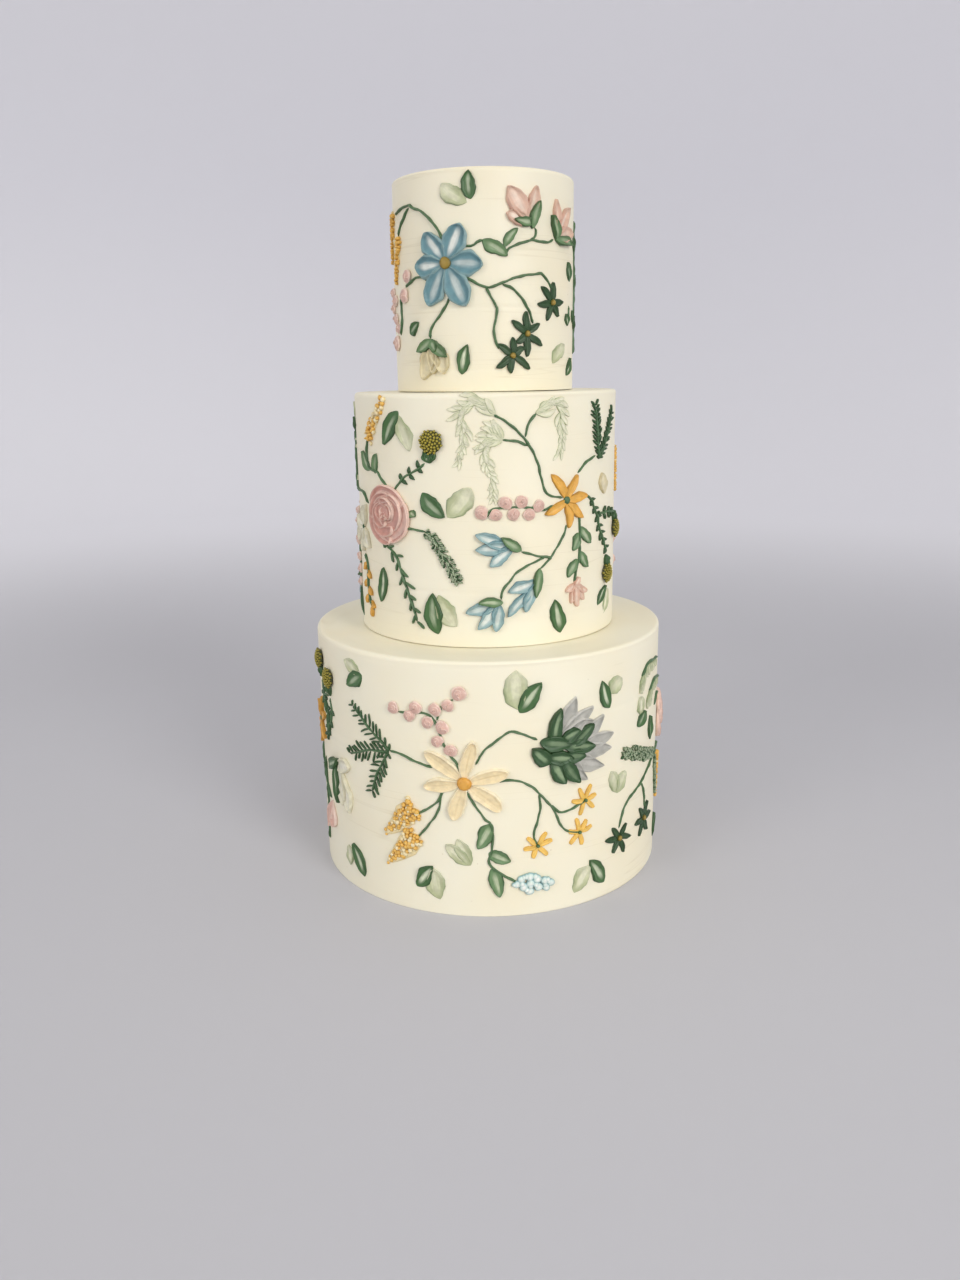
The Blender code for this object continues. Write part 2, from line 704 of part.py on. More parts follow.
def piped_stem(wall, route, collection):
    """A thin piped ridge on the icing: a three-sided prism, cut into lengths and laid along the route."""
    bm = bmesh.new()
    bmesh.ops.create_cone(bm, cap_ends=True, segments=3, radius1=1, radius2=1, depth=1)
    lengths = [edge for edge in bm.edges if edge.verts[0].co.z * edge.verts[1].co.z < 0]
    bmesh.ops.subdivide_edges(bm, edges=lengths, cuts=len(route) - 2)
    heading = np.gradient(route, axis=0)
    heading /= np.linalg.norm(heading, axis=1)[:, None]
    for vert in bm.verts:
        at = round((vert.co.z + 0.5) * (len(route) - 1))
        ahead = heading[at]
        side = vert.co.x * STEM_SPREAD
        # The prism's corners lie at 1 and -0.5 along its own Y.
        lift = -SINK + (vert.co.y + 0.5) / 1.5 * (STEM_RISE + SINK)
        spot = route[at] + side * np.array([-ahead[1], ahead[0]])
        vert.co = wall.point(*spot, lift)
    return object_from(bm, "stem", collection, "deep")


def nearness(wall, x, y, half):
    """How far a disc of radius `half` at a spot is from the nearest blossom, in millimetres."""
    girth = math.tau * wall.radius
    least = math.inf
    for x0, y0, x1, y1, reach in wall.kept_clear:
        shift = round((x - x0) / girth) * girth
        px, py = x - shift - x0, y - y0
        dx, dy = x1 - x0, y1 - y0
        size = dx * dx + dy * dy
        share = 0 if size == 0 else min(1, max(0, (px * dx + py * dy) / size))
        gap = math.hypot(px - share * dx, py - share * dy) - reach - half
        least = min(least, gap)
    return least


def open_runs(wall, route):
    """The stretches of a stem that lie clear of every blossom."""
    fine = smooth_route(route, 1.0)
    runs, run = [], []
    for spot in fine:
        if nearness(wall, *spot, STEM_WIDTH / 2) > CLEARANCE:
            run.append(spot)
        else:
            runs.append(run)
            run = []
    runs.append(run)
    return [smooth_route(r, STEM_STEP) for r in runs if len(r) > 4]


def fits(wall, stroke):
    """Whether a leaf lies clear of every blossom, and its hidden spread within the wall."""
    x0, y0, x1, y1, width = stroke
    for share in np.linspace(0, 1, 9):
        half = width / 2 * math.sqrt(max(0.0, 1 - (2 * share - 1) ** 2))
        x, y = x0 + share * (x1 - x0), y0 + share * (y1 - y0)
        if nearness(wall, x, y, half) < CLEARANCE:
            return False
    spread = SINK / LEAF_RISE * abs(y1 - y0) / 2
    return min(y0, y1) - spread > 1 and max(y0, y1) + spread < wall.height - RIM_ROUNDING


def bloom(placing, name, shape, cutter, collection):
    """One blossom: its petals, sepals and beads fused into one solid and pared to the icing."""
    wall = placing.wall
    colour = shape["colour"]
    pieces = []
    scooped = colour in ("blue", "cream")
    for values in shape.get("petals", []):
        stroke = placing.stroke(values)
        hollow = PETAL_HOLLOW if scooped else 0.0
        pieces.append(knife_stroke(wall, stroke, PETAL_RISE, GAP, colour, collection, hollow))
        wall.kept_clear.append((*stroke[:4], stroke[4] / 2))
    for values in shape.get("sepals", []):
        stroke = placing.stroke(values)
        pieces.append(knife_stroke(wall, stroke, SEPAL_RISE, GAP, "deep", collection))
        wall.kept_clear.append((*stroke[:4], stroke[4] / 2))
    for values in shape.get("beads", []):
        ball = placing.bead(values)
        pieces.append(bead(wall, ball, colour, collection))
        wall.kept_clear.append((ball[0], ball[1], ball[0], ball[1], ball[2]))
    if "rosette" in shape:
        ball = placing.bead(shape["rosette"])
        pieces.append(rosette(wall, ball, colour, collection))
        wall.kept_clear.append((ball[0], ball[1], ball[0], ball[1], ball[2] * (1 + ROSE_UNEVEN)))
    first = pieces[0]
    first.name = name
    # The petals all meet at the heart, where the EXACT solver loses some blossoms.
    join(first, pieces[1:], "MANIFOLD")
    return pare(first, cutter)


def fused_pieces(placing, layout, collection):
    """The stems, leaves, stars, berries and sprigs that belong to the tier itself."""
    wall = placing.wall
    made = []
    for route in layout["stems"]:
        for run in open_runs(wall, [placing.spot(x, y) for x, y in route]):
            made.append(piped_stem(wall, run, collection))
    for values in [*layout["leaves"], *layout.get("spikes", []), *layout.get("sprigs", [])]:
        stroke = placing.stroke(values)
        if stroke[4] >= SMALLEST_LEAF and fits(wall, stroke):
            made.append(knife_stroke(wall, stroke, LEAF_RISE, 0, "deep", collection))
    for x, y, reach, turn in layout.get("stars", []):
        ball = placing.bead((x, y, reach))
        if nearness(wall, *ball) > CLEARANCE:
            made.append(small_star(wall, (*ball, math.radians(turn)), collection))
    for values in layout.get("berries", []):
        ball = placing.bead(values)
        if ball[2] >= SMALLEST_BERRY and nearness(wall, *ball) > CLEARANCE:
            made.append(bead(wall, ball, "blush", collection))
    return made


def build():
    clear_scene()
    cake = new_collection("tiered_cake")
    helpers = new_collection("cutters")
    foot = 0.0
    for tier, height in TIER_HEIGHTS.items():
        wall = Wall(tier, foot)
        body = tier_body(wall, cake)
        cutter = back_cutter(wall, helpers)
        placings = [
            (Placing(wall, degrees, up, scale, flip), spray, layout)
            for home, spray, layout, degrees, up, scale, flip in PLACES
            if home == tier
        ]
        for placing, spray, layout in placings:
            for name, shape in layout["blooms"].items():
                blossom = bloom(placing, f"{tier}_{spray}_{name}", shape, cutter, cake)
                shade_round(blossom)
        fused = []
        for placing, _, layout in placings:
            fused += fused_pieces(placing, layout, cake)
        shade_round(join(body, fused))
        foot += height


build()
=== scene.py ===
"""Looks of a three-tier buttercream cake: smoothed ivory icing and palette-knife flowers in relief.

Lengths are millimetres until a mesh is made. A flower or a sprig is laid out flat on its tier's
unrolled side, x to the right and y up from the spray's heart, and is then wrapped round the tier.
"""

import logging
import math
from dataclasses import dataclass, field
from enum import Enum
from functools import lru_cache

import bpy
import numpy as np
from mathutils import Matrix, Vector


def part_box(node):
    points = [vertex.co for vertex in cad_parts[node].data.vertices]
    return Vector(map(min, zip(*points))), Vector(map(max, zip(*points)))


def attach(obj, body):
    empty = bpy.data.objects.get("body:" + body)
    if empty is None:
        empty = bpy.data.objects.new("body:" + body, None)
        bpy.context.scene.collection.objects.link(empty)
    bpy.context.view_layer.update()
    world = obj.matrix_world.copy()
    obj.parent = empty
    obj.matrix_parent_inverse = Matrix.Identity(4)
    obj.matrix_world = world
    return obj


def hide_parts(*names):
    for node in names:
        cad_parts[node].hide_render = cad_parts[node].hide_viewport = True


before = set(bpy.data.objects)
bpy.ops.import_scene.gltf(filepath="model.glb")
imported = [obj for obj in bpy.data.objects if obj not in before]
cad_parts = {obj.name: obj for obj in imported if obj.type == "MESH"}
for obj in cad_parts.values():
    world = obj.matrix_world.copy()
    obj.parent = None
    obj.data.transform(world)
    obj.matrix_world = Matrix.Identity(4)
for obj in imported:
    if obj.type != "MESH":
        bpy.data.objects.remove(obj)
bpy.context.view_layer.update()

LOG = logging.getLogger("cake")
MM = 0.001
BODY = "root"
SEED = 41

Array = np.ndarray
Point = tuple[float, float]
Line = tuple[Point, ...]
Stroke = tuple[float, float, float, float, float]
Ball = tuple[float, float, float]

TIERS = ("bottom", "middle", "top")
TIER_RADII = {"bottom": 107.0, "middle": 78.0, "top": 52.0}

# Buttercream under a knife or out of a nozzle sits a little into the icing that it is pressed on.
SINK = 0.5
STEM_WIDTH = 1.4
STEM_RISE = 1.2
# A sunflower sets each seed this many radians, or this share of a turn, after the last one.
GOLDEN_ANGLE = 2.39996
GOLDEN_SHARE = 0.618034
IVORY = "F2EDD7"


def linear(colour: str) -> tuple[float, float, float, float]:
    """Turns an sRGB hex colour into linear light.

    Args:
        colour: Six hex digits.

    Returns:
        Red, green, blue and alpha, by the sRGB curve: a straight toe, then the power 2.4.
    """
    parts = [int(colour[i : i + 2], 16) / 255 for i in (0, 2, 4)]
    light = [p / 12.92 if p <= 0.04045 else ((p + 0.055) / 1.055) ** 2.4 for p in parts]
    return (*light, 1.0)


def add_node(tree: bpy.types.NodeTree, kind: str, inputs: dict | None = None, **settings) -> bpy.types.Node:
    """Adds one shader node.

    Args:
        tree: The material's node tree.
        kind: The node's type name.
        inputs: Values or outputs for its sockets, by name or number.
        **settings: The node's own settings.

    Returns:
        The new node.
    """
    made = tree.nodes.new(kind)
    for name, value in settings.items():
        setattr(made, name, value)
    for key, value in (inputs or {}).items():
        if isinstance(value, bpy.types.NodeSocket):
            tree.links.new(value, made.inputs[key])
        else:
            made.inputs[key].default_value = value
    return made


class Shading:
    """The node tree of one new material, with short names for the nodes that the finishes share."""

    def __init__(self, name: str) -> None:
        self.material = bpy.data.materials.new(name)
        self.material.use_nodes = True
        self.tree = self.material.node_tree
        self.shader = self.tree.nodes["Principled BSDF"]
        self.place = add_node(self.tree, "ShaderNodeTexCoord").outputs["Object"]

    def maths(self, kind: str, first: object, second: object = 0.0) -> bpy.types.NodeSocket:
        """Returns the output of one Math node."""
        return add_node(self.tree, "ShaderNodeMath", {0: first, 1: second}, operation=kind).outputs[0]

    def times(self, first: object, second: object) -> bpy.types.NodeSocket:
        """Returns the product."""
        return self.maths("MULTIPLY", first, second)

    def join(self, x: object, y: object, z: object) -> bpy.types.NodeSocket:
        """Returns the vector (x, y, z)."""
        return add_node(self.tree, "ShaderNodeCombineXYZ", {0: x, 1: y, 2: z}).outputs[0]

    def ramp(
        self,
        value: object,
        low: float,
        high: float,
        start: float = 0,
        end: float = 1,
        kind: str = "SMOOTHSTEP",
    ) -> bpy.types.NodeSocket:
        """Returns the value carried from `start` at `low` to `end` at `high`."""
        inputs = {"Value": value, "From Min": low, "From Max": high, "To Min": start, "To Max": end}
        return add_node(self.tree, "ShaderNodeMapRange", inputs, interpolation_type=kind).outputs["Result"]

    def noise(self, vector: object, scale: float, detail: float = 2.0) -> bpy.types.NodeSocket:
        """Returns the value of a noise, `scale` of whose cells make one unit of the vector."""
        inputs = {"Vector": vector, "Scale": scale, "Detail": detail}
        return add_node(self.tree, "ShaderNodeTexNoise", inputs).outputs["Fac"]

    def mix(self, share: object, first: object, second: object, blend: str = "MIX") -> bpy.types.NodeSocket:
        """Returns the second colour laid over the first by the share."""
        inputs = {"Factor": share, 6: first, 7: second}
        return add_node(self.tree, "ShaderNodeMix", inputs, data_type="RGBA", blend_type=blend).outputs[2]

    def finish(
        self, colour: object, height: object, bump: float, roughness: float, glow: tuple[float, tuple, float]
    ) -> bpy.types.Material:
        """Wires the shader.

        Args:
            colour: The base colour's output.
            height: The relief's output, 0.3 mm for each unit.
            bump: How strongly the relief shows.
            roughness: The surface's roughness.
            glow: The light let in: its weight, the reach of red, green and blue, and their scale in metres.

        Returns:
            The material.
        """
        inputs = {"Height": height, "Strength": bump, "Distance": 0.0003}
        relief = add_node(self.tree, "ShaderNodeBump", inputs).outputs["Normal"]
        self.tree.links.new(colour, self.shader.inputs["Base Color"])
        self.tree.links.new(relief, self.shader.inputs["Normal"])
        self.shader.inputs["Roughness"].default_value = roughness
        for name, value in zip(("Weight", "Radius", "Scale"), glow):
            self.shader.inputs[f"Subsurface {name}"].default_value = value
        return self.material


def smoothstep(value: Array, low: float, high: float) -> Array:
    """Rises from 0 at `low` to 1 at `high` as 3t^2 - 2t^3."""
    share = np.clip((value - low) / (high - low), 0, 1)
    return share * share * (3 - 2 * share)


@dataclass(frozen=True)
class Buttercream:
    """Buttercream tinted with gel colour and half mixed, so that a stroke drags pale streaks.

    Butter and sugar beaten smooth give a satin face with a soft, broad highlight and a little light
    let in at thin edges. `base` is the stroke's colour, the next colour its middle and `rim` its edges.
    The middle colour is partly the half-mixed icing and partly a painted highlight along the crest;
    on the daisy it is a painted shade down the crease. The rim colour, paler on some tints and darker
    on others, is partly the tint's own edge and partly painted highlight and painted shade on the lip.
    `fade` is how far it thins into the ivory under it at its tip, and `drag` how far its lines stray.
    """

    name: str
    base: str
    streak_and_painted_shading: str
    rim: str
    streak_shading_reach: float = 0.4
    streak_shading_share: float = 0.8
    rim_shading_share: float = 0.6
    fade: float = 0.0
    drag: float = 0.6
    roughness: float = 0.42

    def material(self) -> bpy.types.Material:
        """Returns the material, made once, which reads (across, along, chance) from `stroke`."""
        found = bpy.data.materials.get(self.name)
        if found:
            return found
        paint = Shading(self.name)
        ramp, times = paint.ramp, paint.times
        stroke = add_node(paint.tree, "ShaderNodeAttribute", attribute_name="stroke").outputs["Vector"]
        across, along, chance = add_node(paint.tree, "ShaderNodeSeparateXYZ", {0: stroke}).outputs[:3]
        # The knife drags the half-mixed colours into lines that run along the stroke.
        drag = paint.noise(paint.join(times(across, 2.4), along, times(chance, 37.0)), 1.7, 3.0)
        wander = times(paint.maths("SUBTRACT", drag, 0.5), self.drag)
        middle = paint.maths("ABSOLUTE", paint.maths("ADD", across, wander))
        # The middle colour runs down the stroke: partly the half-mixed icing, partly a painted highlight
        # along its crest, and on the daisy a painted shade down its crease.
        streak_and_painted_shading = ramp(middle, 0.2 * self.streak_shading_reach, self.streak_shading_reach, 1.0, 0.0)
        lengthwise = times(ramp(along, 0.08, 0.4), ramp(along, 0.68, 0.98, 1.0, 0.0))
        strength = times(ramp(chance, 0.0, 1.0, 0.45), self.streak_shading_share)
        body = paint.mix(times(times(streak_and_painted_shading, lengthwise), strength), linear(self.base), linear(self.streak_and_painted_shading))
        # The lip runs along both sides and round the tip. Its rim colour is partly the tint's own edge
        # and partly painted highlight and painted shade on the raised edge.
        lip = paint.maths("MAXIMUM", ramp(paint.maths("ABSOLUTE", across), 0.66, 0.97), ramp(along, 0.9, 1.0))
        edged = paint.mix(times(lip, self.rim_shading_share), body, linear(self.rim))
        thin = times(ramp(along, 0.35, 1.0, 0.0, self.fade), ramp(drag, 0.2, 0.7, 0.6))
        edged = paint.mix(thin, edged, linear(IVORY))
        # Patches a few millimetres wide, where the tint is mixed in less evenly.
        tone = ramp(paint.noise(paint.place, 260.0), 0.3, 0.7, 0.9, 1.07)
        # Fine drag lines and sugar grain, drawn a little coarser than real so that they show.
        lines = paint.noise(paint.join(times(across, 9.0), along, times(chance, 23.0)), 1.5)
        height = paint.maths("ADD", times(lines, 0.7), paint.noise(paint.place, 1300.0))
        colour = paint.mix(1.0, edged, tone, "MULTIPLY")
        return paint.finish(colour, height, 0.35, self.roughness, (0.12, (1.0, 0.8, 0.6), 0.001))


@dataclass(frozen=True)
class SmoothedIcing:
    """Ivory buttercream scraped smooth: faint level lines from the scraper, painted a little darker as
    painted shade, pinholes and a few specks.
    """

    name: str = "ivory_buttercream_scraped"
    base: str = IVORY
    warm: str = "F1E7C9"
    speck: str = "B59F7C"
    # The hairlines' darker colour: painted shade along the scraper's ridges.
    line: str = "DCD2B4"
    roughness: float = 0.5

    def material(self) -> bpy.types.Material:
        """Returns the material, made once."""
        found = bpy.data.materials.get(self.name)
        if found:
            return found
        paint = Shading(self.name)
        # Broad patches, 60 mm across, where the butter's yellow comes through.
        patch = paint.noise(paint.place, 16.0)
        body = paint.mix(
            paint.ramp(patch, 0.35, 0.75, 0.0, 0.7, "LINEAR"), linear(self.base), linear(self.warm)
        )
        # Specks half a millimetre across, one in each 16 mm or so.
        cells = add_node(paint.tree, "ShaderNodeTexVoronoi", {"Vector": paint.place, "Scale": 62.0})
        dots = paint.ramp(cells.outputs["Distance"], 0.012, 0.03, 0.5, 0.0, "LINEAR")
        specked = paint.mix(dots, body, linear(self.speck))
        # The scraper turns about the cake, so its lines are level: about 13 mm apart, long, and faint.
        level = add_node(paint.tree, "ShaderNodeMapping", {"Vector": paint.place, "Scale": (1.6, 1.6, 75.0)})
        lines = paint.noise(level.outputs[0], 1.0)
        # Hairlines lie where that noise passes through its middle value, and only in some patches.
        # They are painted darker: painted shade along the scraper's small ridges.
        middle = paint.maths("ABSOLUTE", paint.maths("SUBTRACT", lines, 0.5))
        hair = paint.ramp(middle, 0.0, 0.006, 0.4, 0.0, "LINEAR")
        broken = paint.times(hair, paint.ramp(patch, 0.5, 0.6, kind="LINEAR"))
        lined = paint.mix(broken, specked, linear(self.line))
        height = paint.maths("ADD", lines, paint.times(paint.noise(paint.place, 900.0, 3.0), 0.35))
        return paint.finish(lined, height, 0.3, self.roughness, (0.1, (1.0, 0.8, 0.55), 0.002))


class Tint(Enum):
    """The cake's tinted buttercreams."""

    # The middle and rim colours of each tint are partly painted highlight and painted shade on the strokes'
    # relief.
    STEM = Buttercream("green_piped_stem", "4A6B45", "6F8A66", "3A5A38", 0.5, 0.5, 0.4)
    DEEP_LEAF = Buttercream("deep_green_leaf", "456A3C", "DCE2C6", "2D4C28", 0.4, 0.95, 0.75)
    THISTLE_LEAF = Buttercream("dark_green_thistle_leaf", "335430", "9DB28C", "26431F", 0.45, 0.85, 0.7)
    STEM_LEAF = Buttercream("mid_green_leaf", "66865A", "C6CFAF", "385A33", 0.5, 0.85, 0.9)
    SAGE_LEAF = Buttercream("pale_sage_leaf", "B8BE95", "ECEACF", "84956D", 0.6, 0.95, 0.7, 0.5, 0.9)
    PLUME = Buttercream("pale_sage_plume", "D3D4B1", "EDEAD2", "93A27B", 0.7, 0.95, 0.75, 0.6, 0.9)
    BLUE = Buttercream("dusty_blue_petal", "668E96", "EFF0E6", "94AEAC", 0.42, 0.95, 0.85, 0.0, 0.35)
    SKY = Buttercream("pale_blue_petal", "92B2B3", "F0F2E8", "638A94", 0.55, 0.95, 0.85, 0.1)
    BLUSH = Buttercream("blush_petal", "DDB9A4", "F3E3D1", "C79683", 0.45, 0.85, 0.6, 0.15)
    # Its paler rim colour is a painted highlight on each petal's raised edge.
    ROSE = Buttercream("dusty_rose_petal", "CE9D90", "D3A496", "EDCEBE", 0.6, 0.3, 0.95)
    # Its paler rim colour is a painted highlight on the crest of each fold.
    BUD = Buttercream("pink_bud", "DBB3A4", "E3C1B2", "F1D9CB", 0.6, 0.5, 0.9)
    # Its darker middle colour is a painted shade down each petal's crease.
    DAISY = Buttercream("cream_daisy_petal", "ECDAB0", "D3BA86", "F3E9CC", 0.16, 0.5, 0.8, 0.0, 0.12)
    WHITE = Buttercream("cream_magnolia_petal", "DACEA7", "ECE2C3", "BFB083", 0.6, 0.8, 0.75, 0.2)
    PALE = Buttercream("pale_ivory_petal", "E5E1CA", "F3F0E2", "CCC7AA", 0.6, 0.8, 0.7, 0.25)
    GOLD = Buttercream("marigold_petal", "E4AC4A", "EBBB62", "B5852F", 0.6, 0.6, 0.8)
    YELLOW = Buttercream("yellow_star_stroke", "EDC05C", "F2CF7C", "D8A748", 0.7, 0.5, 0.6)
    LILAC = Buttercream("grey_lilac_petal", "ABAAA2", "C8C6BE", "C9C7C0", 0.5, 0.6, 0.85)
    # Its paler middle and darker rim give a painted highlight on each dot's top and painted shade round it.
    MOSS = Buttercream("olive_button_dot", "A39634", "B9AA4C", "6B6620", 0.6, 0.8, 0.8)
    # A dark olive dome under a button's dots: painted shade in the gaps between them.
    SHADE = Buttercream("dark_olive_gap", "3D4219", "3D4219", "2F3516", 0.6, 0.0, 0.5)
    AMBER = Buttercream("olive_amber_centre", "9A8132", "AC9140", "6E6427", 0.7, 0.6, 0.6)
    ORANGE = Buttercream("orange_centre", "DFA445", "E8B35B", "C98E36", 0.7, 0.6, 0.5)
    WATTLE = Buttercream("wattle_yellow_dot", "E6B658", "EFC875", "CC9A3C", 0.6, 0.7, 0.5)
    STRAW = Buttercream("pale_straw_dot", "EFDFB2", "F5EAC9", "DFC88E", 0.6, 0.7, 0.5)
    # Its near-white middle colour is a painted highlight on each bead's top.
    HYACINTH = Buttercream("light_blue_bead", "CFE2DB", "F8F8F0", "86AFB3", 0.7, 0.95, 0.9)
    STAR = Buttercream("dark_green_star_stroke", "284724", "3D5C37", "1F3A1E", 0.5, 0.5, 0.6)
    NEEDLE = Buttercream("dark_green_needle", "30532D", "57754D", "264525", 0.5, 0.6, 0.5)
    LAVENDER = Buttercream("sage_lavender_stroke", "93A283", "BFC8AA", "536A4B", 0.5, 0.7, 0.7)


@dataclass(frozen=True)
class Blade:
    """How a knife leaves one kind of stroke.

    Its outline is a^base (1 - a)^tip over its greatest value, for a share `a` of the length. Its
    face lies at `floor`, rises to `crest` just inside the edge and falls to `edge` at the outline.
    `vein` is the depth of the crease along its middle.
    """

    base: float
    tip: float
    floor: float
    crest: float
    edge: float
    bow: float = 0.03
    ragged: float = 0.03
    vein: float = 0.0

    def outline(self, share: Array) -> Array:
        """Returns the half-width at each share of the length, 1 at the widest."""
        peak = self.base / (self.base + self.tip)
        widest = peak**self.base * (1 - peak) ** self.tip
        return share**self.base * (1 - share) ** self.tip / widest

    def face(self, share: Array, across: Array, tilt: float) -> Array:
        """Returns the lift over (length, width), with one side higher by `tilt`."""
        a, c = np.meshgrid(share, across, indexing="ij")
        reach = (np.abs(c) ** 5 + np.abs(2 * a - 1) ** 14) ** 0.2
        crest = np.exp(-(((reach - 0.82) / 0.16) ** 2))
        lift = self.floor + (self.crest - self.floor) * crest * (0.45 + 0.55 * smoothstep(a, 0, 0.5))
        fall = smoothstep(reach, 0.88, 1.02)
        lift = lift * (1 - fall) + self.edge * fall - self.vein * np.exp(-((c / 0.13) ** 2))
        lift = lift * (1 + tilt * c)
        return lift * (0.4 + 0.6 * smoothstep(a, 0, 0.3))


SCOOPED = Blade(1.2, 0.86, 0.6, 2.6, 1.2, 0.03, 0.04)
PLUMP = Blade(0.85, 0.82, 0.8, 2.3, 0.8, 0.03, 0.05)
BELL = Blade(0.7, 1.0, 0.6, 1.9, 0.7, 0.03, 0.03)
ROUNDED = Blade(0.75, 0.7, 1.2, 1.8, 0.6, 0.04, 0.04, 0.4)
DAISY_PETAL = Blade(0.9, 0.68, 0.8, 2.15, 0.8, 0.03, 0.03, 0.35)
POINTED = Blade(0.75, 0.9, 0.6, 1.7, 0.5, 0.05, 0.04)
SEPAL = Blade(0.7, 0.9, 1.3, 2.4, 0.8, 0.04, 0.04)
BROAD = Blade(0.65, 0.8, 0.6, 1.5, 0.4, 0.05, 0.04, 0.15)
FLAT = Blade(0.85, 0.8, 0.4, 1.0, 0.25, 0.06, 0.05)
WISP = Blade(0.7, 0.75, 0.25, 0.6, 0.12, 0.1, 0.05)
SLIM = Blade(0.6, 0.65, 1.0, 1.6, 0.5, 0.04, 0.04, 0.35)
THIN = Blade(0.3, 0.25, 1.0, 1.3, 0.5, 0.04, 0.05, 0.25)
NARROW = Blade(0.5, 0.35, 1.1, 1.1, 0.4, 0.05, 0.0)
THORN = Blade(0.45, 1.0, 0.9, 1.5, 0.5, 0.05, 0.0)


class Detail(Enum):
    """How many points a stroke takes: rings along it, and points across its face."""

    PETAL = (26, 17)
    LEAF = (22, 13)
    SMALL = (11, 9)
    NEEDLE = (5, 5)


@lru_cache(maxsize=None)
def loft_faces(rings: int, sides: int) -> tuple[Array, Array]:
    """Faces of a closed loft: quads from ring to ring, and a fan to a pole at each end.

    Args:
        rings: How many rings of points.
        sides: How many points in each ring.

    Returns:
        The quads and the triangles, as point numbers. The poles come after the rings.
    """
    ring, side = np.meshgrid(np.arange(rings - 1), np.arange(sides), indexing="ij")
    after = (side + 1) % sides
    quads = np.stack(
        [ring * sides + side, ring * sides + after, (ring + 1) * sides + after, (ring + 1) * sides + side],
        axis=-1,
    ).reshape(-1, 4)
    here = np.arange(sides)
    after = (here + 1) % sides
    first = np.stack([after, here, np.full(sides, rings * sides)], axis=-1)
    base = (rings - 1) * sides
    last = np.stack([base + here, base + after, np.full(sides, rings * sides + 1)], axis=-1)
    return quads, np.concatenate([first, last])


def is_inside_out(points: Array, quads: Array, triangles: Array) -> bool:
    """Whether the faces enclose a negative volume, summed as p0 . (p1 x p2)."""
    corners = np.concatenate([quads[:, [0, 1, 2]], quads[:, [0, 2, 3]], triangles])
    a, b, c = (points[corners[:, i]] - points[0] for i in range(3))
    return float(np.einsum("ij,ij->i", a, np.cross(b, c)).sum()) < 0


class Relief:
    """One piece of the cake: closed lofts gathered into a mesh, each with its own finish."""

    def __init__(self, name: str, seed: int) -> None:
        self.name = name
        self.chances = np.random.default_rng(seed)
        self.points: list[Array] = []
        self.strokes: list[Array] = []
        self.quads: list[Array] = []
        self.triangles: list[Array] = []
        self.quad_finish: list[Array] = []
        self.triangle_finish: list[Array] = []
        self.finishes: list[Buttercream | SmoothedIcing] = []
        self.count = 0

    def add(self, rings: Array, finish: Buttercream | SmoothedIcing, across: Array, along: Array) -> None:
        """Adds one closed loft.

        Args:
            rings: Its points in metres, as (rings, sides, 3).
            finish: Its finish.
            across: Where each point lies across the stroke, from -1 to 1.
            along: Where each point lies along the stroke, from 0 to 1.
        """
        count, sides, _ = rings.shape
        quads, triangles = loft_faces(count, sides)
        poles = np.stack([rings[0].mean(axis=0), rings[-1].mean(axis=0)])
        points = np.concatenate([rings.reshape(-1, 3), poles])
        chance = float(self.chances.random())
        stroke = np.empty((len(points), 3))
        stroke[:-2, 0], stroke[:-2, 1] = across.ravel(), along.ravel()
        stroke[-2:, 0], stroke[-2:, 1] = 0.0, (along[0].mean(), along[-1].mean())
        stroke[:, 2] = chance
        if is_inside_out(points, quads, triangles):
            quads, triangles = quads[:, ::-1], triangles[:, ::-1]
        if finish not in self.finishes:
            self.finishes.append(finish)
        at = self.finishes.index(finish)
        self.points.append(points)
        self.strokes.append(stroke)
        self.quads.append(quads + self.count)
        self.triangles.append(triangles + self.count)
        self.quad_finish.append(np.full(len(quads), at))
        self.triangle_finish.append(np.full(len(triangles), at))
        self.count += len(points)

    def piece(self, nodes: tuple[str, ...], slot: str | None = None) -> bpy.types.Object | None:
        """Makes the object, rides it on the cake and hides the CAD nodes that it replaces.

        Args:
            nodes: The CAD nodes that it replaces.
            slot: A material slot name; not used.

        Returns:
            The object, or None where nothing was added.
        """
        if not self.points:
            return None
        mesh = bpy.data.meshes.new(self.name)
        points = np.concatenate(self.points)
        quads, triangles = np.concatenate(self.quads), np.concatenate(self.triangles)
        corners = np.concatenate([quads.ravel(), triangles.ravel()])
        starts = np.concatenate(
            [np.arange(len(quads)) * 4, len(quads) * 4 + np.arange(len(triangles)) * 3]
        )
        mesh.vertices.add(len(points))
        mesh.vertices.foreach_set("co", points.astype(np.float32).ravel())
        mesh.loops.add(len(corners))
        mesh.loops.foreach_set("vertex_index", corners.astype(np.int32))
        mesh.polygons.add(len(starts))
        mesh.polygons.foreach_set("loop_start", starts.astype(np.int32))
        finish = np.concatenate([*self.quad_finish, *self.triangle_finish]).astype(np.int32)
        mesh.polygons.foreach_set("material_index", finish)
        mesh.update(calc_edges=True)
        stroke = mesh.attributes.new("stroke", "FLOAT_VECTOR", "POINT")
        stroke.data.foreach_set("vector", np.concatenate(self.strokes).astype(np.float32).ravel())
        mesh.shade_smooth()
        for each in self.finishes:
            mesh.materials.append(each.material())
        made = bpy.data.objects.new(self.name, mesh)
        bpy.context.scene.collection.objects.link(made)
        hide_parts(*nodes)
        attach(made, BODY)
        LOG.info("%s: %d faces", self.name, len(starts))
        return made


